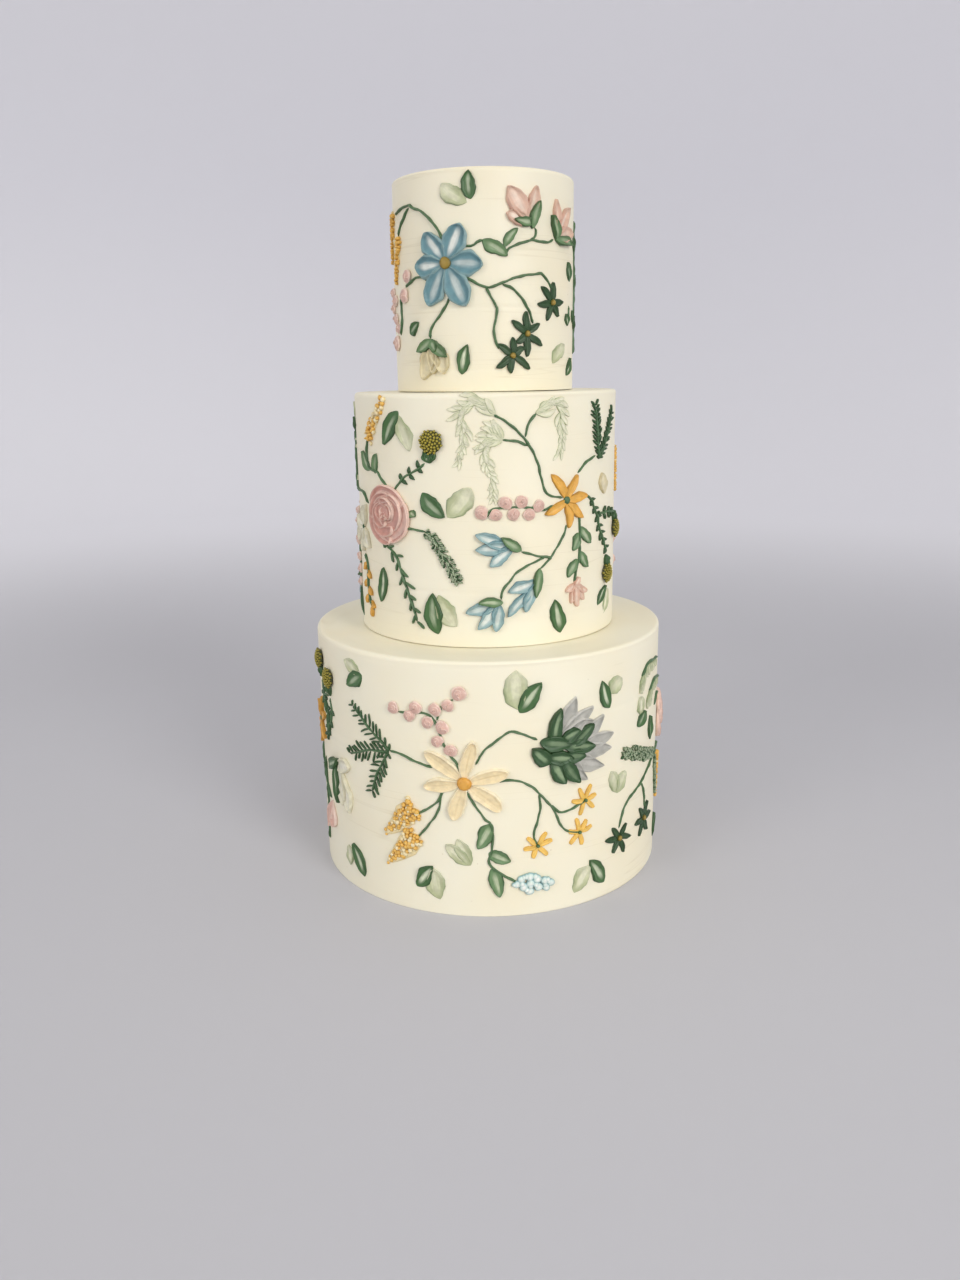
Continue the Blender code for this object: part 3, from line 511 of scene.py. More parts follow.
@dataclass
class Wall:
    """The side of one tier, as an unrolled sheet that wraps onto the cylinder."""

    tier: str
    radius: float
    foot: float
    height: float
    blossoms: list[tuple[float, float, float, float, float]] = field(default_factory=list)

    def wrap(self, flat: Array) -> Array:
        """Returns the places in metres of (along, up, lift): the angle is `along` over the radius."""
        angle = flat[..., 0] / self.radius
        reach = (self.radius + flat[..., 2]) * MM
        height = (self.foot + flat[..., 1]) * MM
        return np.stack([reach * np.sin(angle), -reach * np.cos(angle), height], axis=-1)

    def clearance(self, spots: Array) -> Array:
        """Returns how far each (along, up) is from the nearest blossom's petal, below 0 inside one."""
        if not self.blossoms:
            return np.full(len(spots), 99.0)
        girth = math.tau * self.radius
        x0, y0, x1, y1, reach = np.array(self.blossoms).T
        shift = np.round((spots[:, :1] - x0) / girth) * girth
        px, py = spots[:, :1] - shift - x0, spots[:, 1:] - y0
        dx, dy = x1 - x0, y1 - y0
        share = np.clip((px * dx + py * dy) / np.maximum(dx * dx + dy * dy, 1e-6), 0, 1)
        return (np.hypot(px - share * dx, py - share * dy) - reach).min(axis=1)


@dataclass(frozen=True)
class Placing:
    """Where a spray lies on a wall, and how it is scaled and mirrored."""

    wall: Wall
    degrees: float
    height: float
    scale: float = 1.0
    flip: int = 1

    def spots(self, points: Array) -> Array:
        """Returns the spray's own (x, y) as (along, up) on the wall."""
        start = math.radians(self.degrees) * self.wall.radius
        along = start + self.flip * self.scale * points[..., 0]
        return np.stack([along, self.height + self.scale * points[..., 1]], axis=-1)

    def lay(self, flat: Array) -> Array:
        """Returns the places in metres of the spray's own (x, y, lift)."""
        spots = self.spots(flat[..., :2])
        return self.wall.wrap(np.concatenate([spots, flat[..., 2:]], axis=-1))

    def is_clear(self, points: Array, margin: float) -> bool:
        """Whether all the points lie on the wall, and clear of every blossom by the margin."""
        spots = self.spots(points)
        inside = spots[:, 1].min() > 1 and spots[:, 1].max() < self.wall.height - 1
        return inside and bool((self.wall.clearance(spots) > margin).all())


def smooth_line(points: Line | Array, count: int) -> Array:
    """Points at even steps along a Catmull-Rom curve.

    Args:
        points: The points that it passes through.
        count: How many points to return.

    Returns:
        The points as (count, 2): b + (c - a) t/2 and so on, the usual cubic between two of them.
    """
    route = np.array(points, float)
    ends = np.vstack([2 * route[0] - route[1], route, 2 * route[-1] - route[-2]])
    t = np.linspace(0, 1, 9)[:-1][None, :, None]
    a, b, c, d = (ends[i : len(ends) - 3 + i][:, None, :] for i in range(4))
    curve = b + 0.5 * ((c - a) * t + (2 * a - 5 * b + 4 * c - d) * t**2 + (3 * b - a - 3 * c + d) * t**3)
    fine = np.vstack([curve.reshape(-1, 2), route[-1:]])
    run = np.concatenate([[0], np.cumsum(np.linalg.norm(np.diff(fine, axis=0), axis=1))])
    at = np.linspace(0, run[-1], count)
    return np.stack([np.interp(at, run, fine[:, k]) for k in (0, 1)], axis=1)


def length_of(points: Line | Array) -> float:
    """Returns the length of a line from point to point."""
    return float(np.linalg.norm(np.diff(np.array(points, float), axis=0), axis=1).sum())


def headings(line: Array) -> Array:
    """Returns the unit direction of a line at each of its points."""
    ahead = np.gradient(line, axis=0)
    return ahead / np.maximum(np.linalg.norm(ahead, axis=1), 1e-9)[:, None]


def leftward(line: Array) -> Array:
    """Returns the unit direction to the left of a line at each of its points."""
    ahead = headings(line)
    return np.stack([-ahead[:, 1], ahead[:, 0]], axis=-1)


def turned(way: Array, angle: float) -> Array:
    """Returns a direction turned to the left by the angle in radians."""
    cos, sin = math.cos(angle), math.sin(angle)
    return np.array([way[0] * cos - way[1] * sin, way[0] * sin + way[1] * cos])


def disc(ball: Ball) -> Stroke:
    """Returns a ball as a stroke with next to no length, which other decoration keeps clear of."""
    x, y, radius = ball
    return (x, y, x + 0.01, y, 2 * radius)


def sunflower(ball: Ball, share: float, count: int) -> list[Point]:
    """Returns points spread over a share of a disc: the root of i / count, turned by the golden angle."""
    x, y, radius = ball
    spots = [(share * radius * math.sqrt((i + 0.5) / count), i * GOLDEN_ANGLE) for i in range(count)]
    return [(x + away * math.cos(turn), y + away * math.sin(turn)) for away, turn in spots]


def ribbon(
    spine: Array, half: Array, face: Array, across: Array, slant: Array | float = 0.0
) -> tuple[Array, Array]:
    """A closed band laid along a line, its face at the lifts given and its back sunk in the icing.

    Args:
        spine: The line, as (rings, 2).
        half: The half-width at each ring.
        face: The lift of the face, as (rings, points across).
        across: The face's own places across, from -1 to 1.
        slant: How much wider the left side is than the right at each ring, as a share.

    Returns:
        The flat (x, y, lift) of each point, and its place across.
    """
    side = leftward(spine)
    back = np.array([0.96, 0.0, -0.96])
    places = np.concatenate([across, back])
    uneven = places * (1 + np.reshape(slant, (-1, 1)) * places)
    spots = spine[:, None, :] + (half[:, None] * uneven)[..., None] * side[:, None, :]
    under = np.full((len(spine), len(back)), -SINK)
    lifts = np.concatenate([face, under], axis=1)
    return np.concatenate([spots, lifts[..., None]], axis=2), np.tile(places, (len(spine), 1))


@dataclass(frozen=True)
class Mound:
    """A dome of icing that strokes are laid over: `height` times the root of 1 - (distance/radius)^2."""

    x: float
    y: float
    radius: float
    height: float

    def lift(self, spots: Array) -> Array:
        """Returns how high the dome stands at each spot."""
        away = np.hypot(spots[..., 0] - self.x, spots[..., 1] - self.y) / self.radius
        return self.height * np.sqrt(np.clip(1 - away**2, 0, 1))


def knife(
    work: Relief,
    placing: Placing,
    line: Line | Array,
    width: float,
    blade: Blade,
    tint: Tint,
    detail: Detail = Detail.PETAL,
    raised: float = 0.0,
    mound: Mound | None = None,
    tilt: float = 0.0,
) -> None:
    """Lays one stroke of the palette knife.

    Args:
        work: The piece that it belongs to.
        placing: Where its spray lies.
        line: The middle of the stroke, from its base to its tip.
        width: Its greatest width.
        blade: The kind of stroke.
        tint: Its buttercream.
        detail: How many points it takes.
        raised: How much higher than the others it lies.
        mound: The dome that it is laid over, if there is one.
        tilt: How much higher its left side stands, as a share of its lift.
    """
    rings, count = detail.value
    share = 0.5 - 0.5 * np.cos(math.pi * (np.arange(rings) + 0.35) / (rings - 0.3))
    across = np.sin(np.linspace(-math.pi / 2, math.pi / 2, count))
    route = np.array(line, float)
    draw = work.chances.normal(0, 1, 6)
    bow = blade.bow * float(np.clip(draw[0], -1.5, 1.5)) * length_of(route)
    at = np.linspace(0, 1, 33)
    fine = smooth_line(route, 33) if len(route) > 2 else route[0] + at[:, None] * (route[-1] - route[0])
    fine = fine + bow * np.sin(np.linspace(0, math.pi, 33))[:, None] * leftward(fine)
    spine = np.stack([np.interp(share, at, fine[:, k]) for k in (0, 1)], axis=1)
    uneven = 1 + blade.ragged * np.sin(11 * share + 3 * draw[1])
    uneven = uneven + blade.ragged * np.sin(23 * share + 3 * draw[2])
    half = blade.outline(share) * width / 2 * uneven
    ripple = 1 + 0.1 * np.sin(9 * share + 4 * draw[4])[:, None] * np.abs(across)[None, :]
    lean = tilt + 0.15 * float(np.clip(draw[3], -1.5, 1.5))
    face = blade.face(share, across, lean) * ripple + raised
    slant = 0.14 * float(np.clip(draw[5], -1.5, 1.5)) * np.sin(math.tau * share)
    flat, places = ribbon(spine, half, face, across, slant)
    if mound:
        flat[..., 2] += mound.lift(flat[..., :2])
    work.add(placing.lay(flat), tint.value, places, np.tile(share[:, None], (1, places.shape[1])))


def blob(
    work: Relief,
    placing: Placing,
    ball: Ball,
    tall: float,
    tint: Tint,
    rings: int = 4,
    sides: int = 7,
    mound: Mound | None = None,
    lobes: float = 0.05,
) -> None:
    """Sets one dot or bead: a ball flattened to `tall`, its outline uneven by `lobes`.

    Its points are r sin(polar) round a ring and `tall` cos(polar) high, for polar angles from the
    top to the underside.
    """
    x, y, radius = ball
    polar = math.pi * (np.arange(rings) + 0.6) / (rings + 0.2)
    turn = math.tau * np.arange(sides) / sides
    phase = float(work.chances.random()) * math.tau
    wave = 1 + lobes * np.sin(3 * turn + phase) + lobes * np.sin(2 * turn + 2 * phase)
    out = radius * np.sin(polar)[:, None] * wave
    spots = np.stack([x + out * np.cos(turn), y + out * np.sin(turn)], axis=-1)
    lift = np.tile((tall * 0.5 * (1 + np.cos(polar)) - SINK * 0.5 * (1 - np.cos(polar)))[:, None], (1, sides))
    flat = np.concatenate([spots, lift[..., None]], axis=2)
    if mound:
        flat[..., 2] += mound.lift(np.array([[x, y]]))[0]
    # The finish reads each dot's top as a stroke's middle and its sides as the rim: a painted highlight on
    # top in the middle colour, and round the sides the rim colour, which on most tints is darker: painted
    # shade.
    across = np.tile(np.where(polar < math.pi / 2, np.sin(polar), 1.0)[:, None], (1, sides))
    work.add(placing.lay(flat), tint.value, across, np.full_like(across, 0.55))


def reach_under(placing: Placing, line: Line, near: float = 3.2) -> Array:
    """Returns a line with each end that comes near a blossom carried on until it lies under it."""
    route = np.array(line, float)
    gaps = placing.wall.clearance(placing.spots(route[[0, -1]]))
    for end, beside, gap in ((0, 1, gaps[0]), (-1, -2, gaps[1])):
        if -1 < gap < near:
            way = route[end] - route[beside]
            route[end] += way / np.linalg.norm(way) * (gap + 2.5) / placing.scale
    return route


def piped_stem(work: Relief, placing: Placing, line: Line, width: float = STEM_WIDTH) -> None:
    """Pipes one round stem, uneven in width, and leaves it out where a blossom lies over it."""
    count = max(6, round(length_of(line) / 1.3))
    fine = smooth_line(reach_under(placing, line), count)
    open_spots = placing.wall.clearance(placing.spots(fine)) > -3.2
    edges = np.flatnonzero(np.diff(np.concatenate([[0], open_spots.astype(int), [0]])))
    across = np.sin(np.linspace(-math.pi / 2, math.pi / 2, 7))
    for start, end in zip(edges[::2], edges[1::2]):
        run = fine[start:end]
        if len(run) < 5:
            continue
        share = np.linspace(0, 1, len(run))
        phase = work.chances.random(4) * math.tau
        along = share * length_of(run)
        wobble = 0.16 * np.sin(along / 3.1 + phase[0]) + 0.1 * np.sin(along / 1.3 + phase[1])
        run = run + wobble[:, None] * leftward(run)
        swell = 1 + 0.13 * np.sin(along / 2.2 + phase[2]) + 0.1 * np.sin(along / 0.9 + phase[3])
        ends = np.minimum(1, np.minimum(share, 1 - share) * len(run) / 1.5 + 0.35)
        half = width / 2 * swell * ends
        face = STEM_RISE * (swell * ends)[:, None] * np.sqrt(np.clip(1 - across**2, 0, 1))
        flat, places = ribbon(run, half, face, across)
        work.add(placing.lay(flat), Tint.STEM.value, places, np.tile(share[:, None], (1, places.shape[1])))


class Group(Enum):
    """The fused decoration of a tier, one piece for each kind."""

    STEMS = "stems"
    LEAVES = "leaves"
    BUDS = "buds"
    STARS = "stars"
    NEEDLES = "needles"
    LAVENDER = "lavender"
    PLUMES = "plumes"
    MIMOSA = "mimosa"


@dataclass(frozen=True)
class Leaf:
    """One leaf pressed onto the icing with the knife."""

    stroke: Stroke
    tint: Tint = Tint.DEEP_LEAF
    blade: Blade = POINTED

    def pipe(self, works: dict[Group, Relief], placing: Placing) -> None:
        """Adds the leaf where it is clear of the blossoms."""
        x0, y0, x1, y1, width = self.stroke
        line = np.array([(x0, y0), (x1, y1)], float)
        if placing.is_clear(smooth_line(line, 5), -1.2):
            knife(works[Group.LEAVES], placing, line, width, self.blade, self.tint, Detail.LEAF)


# Each petal of a bud: share of the radius, where round the ball, half its span, width, and lift.
BUD_FOLDS = ((0.6, 0, 1.5, 0.8, 0), (0.55, 2.6, 1.4, 0.9, 0.15), (0.25, 1.2, 1.6, 0.75, 0.3))


@dataclass(frozen=True)
class Buds:
    """Small round buds: a ball with three curved petals folded over it, each with a pale lip, a painted
    highlight on the fold's crest.
    """

    balls: tuple[Ball, ...]

    def pipe(self, works: dict[Group, Relief], placing: Placing) -> None:
        """Adds each bud that is clear of the blossoms."""
        work = works[Group.BUDS]
        lip = Blade(0.4, 0.4, 0.25, 0.8, 0.2, 0.0, 0.05)
        for x, y, radius in self.balls:
            if not placing.is_clear(np.array([[x, y]]), radius * 0.4):
                continue
            mound = Mound(x, y, radius * 1.05, 0.55 * radius)
            blob(work, placing, (x, y, radius * 0.95), 0.62 * radius, Tint.BUD, 7, 14, None, 0.08)
            turn = float(work.chances.random()) * math.tau
            for share, way, span, width, lift in BUD_FOLDS:
                arc = turn + way + np.linspace(-span, span, 7)
                away = radius * share
                line = np.stack([x + away * np.cos(arc), y + away * np.sin(arc)], axis=-1)
                knife(work, placing, line, radius * width, lip, Tint.BUD, Detail.SMALL, lift, mound, 0.35)


@dataclass(frozen=True)
class SmallStar:
    """A flat star of thin strokes that all start at its centre."""

    centre: Point
    tips: Line
    width: float
    tint: Tint
    centre_tint: Tint
    blade: Blade = SLIM
    dot: float = 1.7

    def pipe(self, works: dict[Group, Relief], placing: Placing) -> None:
        """Adds the strokes and the dot at the centre."""
        if not placing.is_clear(np.array([self.centre]), 3.0):
            return
        work = works[Group.STARS]
        for tip in self.tips:
            knife(work, placing, (self.centre, tip), self.width, self.blade, self.tint, Detail.SMALL)
        blob(work, placing, (*self.centre, self.dot), 2.4, self.centre_tint, 5, 10)


@dataclass(frozen=True)
class Fern:
    """A stem with needles on both sides that lean towards its tip."""

    line: Line
    needle: float
    width: float
    step: float
    lean: float
    taper: float
    tint: Tint = Tint.NEEDLE
    blade: Blade = NARROW
    staggered: bool = False

    def pipe(self, works: dict[Group, Relief], placing: Placing) -> None:
        """Adds the stem and its needles."""
        work = works[Group.NEEDLES]
        piped_stem(works[Group.STEMS], placing, self.line)
        count = max(3, round(length_of(self.line) / self.step))
        fine = smooth_line(self.line, count)
        ahead = headings(fine)
        for i, (spot, way) in enumerate(zip(fine, ahead)):
            share = i / (count - 1)
            reach = self.needle * (1 - self.taper * share) * min(1.0, 0.45 + 2 * share)
            for sign in (1, -1):
                if self.staggered and (i + (sign > 0)) % 2:
                    continue
                lean = turned(way, math.radians(self.lean + 5 * work.chances.normal()) * sign)
                end = spot + lean * reach * (1 + 0.12 * work.chances.normal())
                line = np.array([spot + lean * 0.3, end])
                if placing.is_clear(line, 0.4):
                    raised = 0.2 * work.chances.random()
                    knife(work, placing, line, self.width, self.blade, self.tint, Detail.NEEDLE, raised)


@dataclass(frozen=True)
class Lavender:
    """A spike of many tiny curved dabs, thicker towards its free end."""

    line: Line
    width: float
    dabs: int

    def pipe(self, works: dict[Group, Relief], placing: Placing) -> None:
        """Adds the stem and the dabs."""
        work = works[Group.LAVENDER]
        piped_stem(works[Group.STEMS], placing, self.line)
        fine = smooth_line(self.line, self.dabs)
        ahead = headings(fine)
        draws = work.chances.normal(0, 1, (self.dabs, 4))
        for i, (spot, way, draw) in enumerate(zip(fine, ahead, draws)):
            share = i / (self.dabs - 1)
            side = np.array([-way[1], way[0]])
            away = (i % 3 - 1) * 0.34 + 0.12 * draw[0]
            half = self.width / 2 * (0.45 + 0.55 * math.sin(math.pi * min(0.9, 0.1 + 0.7 * share)))
            start = spot + side * away * half
            heading = way * 0.6 + side * (away * 2.2 + 0.35 * draw[1])
            heading /= np.linalg.norm(heading)
            end = start + heading * (2.3 + 0.35 * draw[2])
            line = np.array([start, end])
            tint = Tint.LAVENDER if i % 4 else Tint.NEEDLE
            if placing.is_clear(line, 0.3):
                knife(work, placing, line, 1.15, NARROW, tint, Detail.NEEDLE, 0.5 * (1 - abs(away)))


@dataclass(frozen=True)
class Plume:
    """A hanging plume of pale strokes, long at its base and short at its tip.

    `spread` is how far the strokes lean from the line in degrees, and `fall` how far they hang straight down.
    """

    line: Line
    petal: float
    width: float
    tint: Tint = Tint.PLUME
    step: float = 2.7
    spread: float = 22.0
    fall: float = 0.0

    def pipe(self, works: dict[Group, Relief], placing: Placing) -> None:
        """Adds the pairs from the tip back, so that the ones nearer the stem lie on top."""
        work = works[Group.PLUMES]
        count = max(5, round(length_of(self.line) / self.step))
        fine = smooth_line(self.line, count)
        ahead = headings(fine)
        for i in reversed(range(count)):
            share = i / (count - 1)
            size = 1 - 0.45 * share
            for sign in (1, -1) if i > 1 else (1.5, -1.5, 0.5, -0.5):
                lean = math.radians(self.spread * sign + 7 * work.chances.normal())
                way = (1 - self.fall) * ahead[i] + self.fall * np.array([0.0, -1.0])
                way = way / np.linalg.norm(way)
                aside = turned(way, lean)
                reach = self.petal * size * (1 if i > 1 else 1.2) * (1 + 0.12 * work.chances.normal())
                line = np.array([fine[i], fine[i] + aside * reach])
                raised = 0.35 * (1 - share) + 0.12 * (sign > 0)
                if placing.is_clear(line, 0.4):
                    knife(work, placing, line, self.width * size, WISP, self.tint, Detail.SMALL, raised)


@dataclass(frozen=True)
class Mimosa:
    """A tapered spike of round dots, mostly yellow with some pale straw."""

    stroke: Stroke
    dot: float
    tip: float = 0.15
    pale: float = 0.3

    def pipe(self, works: dict[Group, Relief], placing: Placing) -> None:
        """Adds the dots on a sunflower spiral squeezed into the spike's outline."""
        work = works[Group.MIMOSA]
        x0, y0, x1, y1, width = self.stroke
        base, way = np.array([x0, y0]), np.array([x1 - x0, y1 - y0])
        reach = float(np.linalg.norm(way))
        side = np.array([-way[1], way[0]]) / reach
        count = round(1.3 * reach * width * (1 + self.tip) / 2 / (math.pi * self.dot**2))
        shares = (np.arange(count) + 0.5) / count
        bed = Blade(0.25, 0.75, 0.6, 0.7, 0.2, 0.02, 0.05)
        if placing.is_clear(np.array([base, base + way]), -2.0):
            knife(work, placing, np.array([base, base + way]), width * 0.96, bed, Tint.STRAW, Detail.SMALL)
        for i, share in enumerate(shares):
            # More dots lie at the wide base, so the share of the length grows as the root does.
            at = (1 - math.sqrt(1 - share * (1 - self.tip**2))) / (1 - self.tip)
            away = 2 * ((i * GOLDEN_SHARE) % 1) - 1
            half = width / 2 * (1 - (1 - self.tip) * at)
            spot = base + way * at + side * away * half + 0.35 * self.dot * work.chances.normal(0, 1, 2)
            radius = self.dot * float(np.clip(1 + 0.25 * work.chances.normal(), 0.6, 1.5))
            tint = Tint.STRAW if work.chances.random() < self.pale * (0.6 + at) else Tint.WATTLE
            tall = 1.4 + 1.4 * math.sqrt(max(0.0, 1 - away * away)) * half / (width / 2)
            if placing.is_clear(spot[None, :], 0.5):
                blob(work, placing, (*spot, radius), tall, tint)


@dataclass(frozen=True)
class Stem:
    """One piped stem."""

    line: Line

    def pipe(self, works: dict[Group, Relief], placing: Placing) -> None:
        """Adds the stem."""
        piped_stem(works[Group.STEMS], placing, self.line)


@dataclass(frozen=True)
class Flower:
    """A blossom of knife strokes, which is a node of its own."""

    name: str
    tint: Tint
    petals: tuple[Stroke, ...]
    sepals: tuple[Stroke, ...] = ()
    centre: Ball | None = None
    centre_tint: Tint = Tint.AMBER
    blade: Blade = SCOOPED
    sepal_blade: Blade = SEPAL
    sepal_tint: Tint = Tint.STEM_LEAF
    slot: str = "cream_icing"
    over: float = 0.9

    def reaches(self) -> list[Stroke]:
        """Returns the strokes that other decoration keeps clear of."""
        return [*self.petals, *self.sepals]

    def pipe(self, work: Relief, placing: Placing) -> None:
        """Adds the petals, the sepals and the centre."""
        layers = [(self.petals, self.blade, self.tint), (self.sepals, self.sepal_blade, self.sepal_tint)]
        for level, (strokes, blade, tint) in enumerate(layers):
            for turn, (x0, y0, x1, y1, width) in enumerate(strokes):
                line = ((x0, y0), (x1, y1))
                raised = self.over * level + 0.17 * (turn % 3)
                knife(work, placing, line, width, blade, tint, Detail.PETAL, raised)
        if self.centre:
            x, y, radius = self.centre
            tall = 0.78 * radius
            blob(work, placing, self.centre, tall, self.centre_tint, 9, 20, None, 0.03)
            mound = Mound(x, y, radius, 0.8 * tall)
            for spot in sunflower(self.centre, 0.82, 18):
                blob(work, placing, (*spot, 0.2 * radius), 0.45, self.centre_tint, 4, 7, mound)


@dataclass(frozen=True)
class Rose:
    """A ruffled rose: rings of curved petals on a low mound, each with a raised edge painted paler, a painted
    highlight.
    """

    name: str
    ball: Ball
    slot: str = "rose_icing"
    # Each petal in shares of the radius: centre, bend, start and end in degrees, width; and its lift in mm.
    folds: tuple[tuple[float, float, float, float, float, float, float], ...] = (
        (0, 0, 0.79, 150, 285, 0.42, 0.0),
        (0, 0, 0.79, 262, 390, 0.42, 0.1),
        (0, 0, 0.79, 10, 160, 0.4, 0.2),
        (-0.04, 0.03, 0.57, -70, 75, 0.4, 0.3),
        (-0.06, 0.05, 0.55, 60, 200, 0.38, 0.4),
        (-0.05, 0.05, 0.56, 185, 310, 0.38, 0.45),
        (-0.08, 0.08, 0.34, -60, 120, 0.34, 0.4),
        (-0.12, 0.06, 0.33, 110, 300, 0.32, 0.5),
        (0.05, 0.1, 0.2, -90, 90, 0.2, 0.6),
        (-0.16, 0.12, 0.19, 90, 280, 0.2, 0.55),
        (-0.02, -0.02, 0.1, 120, 330, 0.16, 0.65),
    )

    def reaches(self) -> list[Stroke]:
        """Returns the disc that other decoration keeps clear of."""
        return [disc(self.ball)]

    def pipe(self, work: Relief, placing: Placing) -> None:
        """Adds the mound, then the petals from the outside in."""
        x, y, radius = self.ball
        blob(work, placing, (x, y, radius * 0.93), 2.4, Tint.ROSE, 9, 40, None, 0.015)
        mound = Mound(x, y, radius * 1.05, 1.7)
        petal = Blade(0.3, 0.3, 0.3, 1.9, 1.2, 0.0, 0.04)
        for cx, cy, share, start, end, width, lift in self.folds:
            arc = np.radians(np.linspace(start, end, 11))
            # A petal starts a little further in, under its neighbour, and ends further out.
            away = share * (0.93 + 0.14 * np.linspace(0, 1, 11))
            line = np.stack(
                [x + radius * (cx + away * np.cos(arc)), y + radius * (cy + away * np.sin(arc))], axis=-1
            )
            knife(work, placing, line, radius * width, petal, Tint.ROSE, Detail.PETAL, lift, mound, -0.5)


@dataclass(frozen=True)
class Button:
    """A round button flower: a dark dome, painted shade for the gaps, covered with small dots, in a cup of
    leaves.
    """

    name: str
    ball: Ball
    cup: Stroke
    slot: str = "olive_icing"

    def reaches(self) -> list[Stroke]:
        """Returns the disc and the cup that other decoration keeps clear of."""
        return [disc(self.ball), self.cup]

    def pipe(self, work: Relief, placing: Placing) -> None:
        """Adds the cup, the dome and its dots on a sunflower spiral."""
        x0, y0, x1, y1, width = self.cup
        for turn in (-0.3, 0.3, 0.0):
            tip_x = x0 + (x1 - x0) * math.cos(turn) - (y1 - y0) * math.sin(turn)
            tip_y = y0 + (x1 - x0) * math.sin(turn) + (y1 - y0) * math.cos(turn)
            line = ((x0, y0), (tip_x, tip_y))
            knife(work, placing, line, width * 0.6, SEPAL, Tint.DEEP_LEAF, Detail.LEAF)
        x, y, radius = self.ball
        tall = 0.5 * radius
        # The dome is dark olive: painted shade that shows in the gaps between the dots.
        blob(work, placing, (x, y, radius * 0.9), tall, Tint.SHADE, 9, 24, None, 0.0)
        mound = Mound(x, y, radius * 1.02, tall)
        for spot in sunflower(self.ball, 0.94, 52):
            blob(work, placing, (*spot, 0.117 * radius), 1.15, Tint.MOSS, 5, 8, mound)


@dataclass(frozen=True)
class Hyacinth:
    """A short spike of light-blue beads, each with a smaller one beside it; the white on each bead's top is a
    painted highlight.
    """

    name: str
    beads: tuple[Ball, ...]
    slot: str = "sky_icing"

    def reaches(self) -> list[Stroke]:
        """Returns the beads as discs that other decoration keeps clear of."""
        return [disc(bead) for bead in self.beads]

    def pipe(self, work: Relief, placing: Placing) -> None:
        """Adds each bead and the smaller one beside it."""
        for x, y, radius in self.beads:
            blob(work, placing, (x, y, radius * 0.82), 0.75 * radius, Tint.HYACINTH, 9, 18)
            angle = float(work.chances.random()) * math.tau
            spot = (x + 0.62 * radius * math.cos(angle), y + 0.62 * radius * math.sin(angle))
            blob(work, placing, (*spot, radius * 0.55), 0.8 * radius, Tint.HYACINTH, 8, 14)


Blossom = Flower | Rose | Button | Hyacinth


@dataclass(frozen=True)
class Spray:
    """A spray: blossoms, which are nodes, and decoration that belongs to the tier."""

    blossoms: tuple[Blossom, ...]
    decoration: tuple


def leaves(tint: Tint, blade: Blade, *strokes: Stroke) -> tuple[Leaf, ...]:
    """Returns leaves of one tint and kind."""
    return tuple(Leaf(stroke, tint, blade) for stroke in strokes)


def stems(*lines: Line) -> tuple[Stem, ...]:
    """Returns piped stems."""
    return tuple(Stem(line) for line in lines)


def thorns(line: Line, needle: float, width: float, step: float, lean: float, taper: float = 0) -> Fern:
    """Returns a stem with short, broad needles."""
    return Fern(line, needle, width, step, lean, taper, blade=THORN)


def tulip(name: str, sepal: Stroke, *petals: Stroke) -> Flower:
    """Returns one pale blue tulip in a green cup."""
    return Flower(name, Tint.SKY, petals, (sepal,), slot="sky_icing", blade=PLUMP)


def gold_star(centre: Point, *petals: Stroke) -> Flower:
    """Returns one gold star flower with a green centre."""
    ball = (*centre, 2.3)
    return Flower("gold_star", Tint.GOLD, petals, (), ball, Tint.STEM, ROUNDED, slot="gold_icing")


def green_star(centre: Point, *tips: Point) -> SmallStar:
    """Returns one dark green star with a yellow dot."""
    return SmallStar(centre, tips, 4.1, Tint.STAR, Tint.AMBER)


def yellow_star(centre: Point, *tips: Point) -> SmallStar:
    """Returns one yellow star of thin strokes with a green dot."""
    return SmallStar(centre, tips, 2.9, Tint.YELLOW, Tint.STEM, THIN, 1.1)


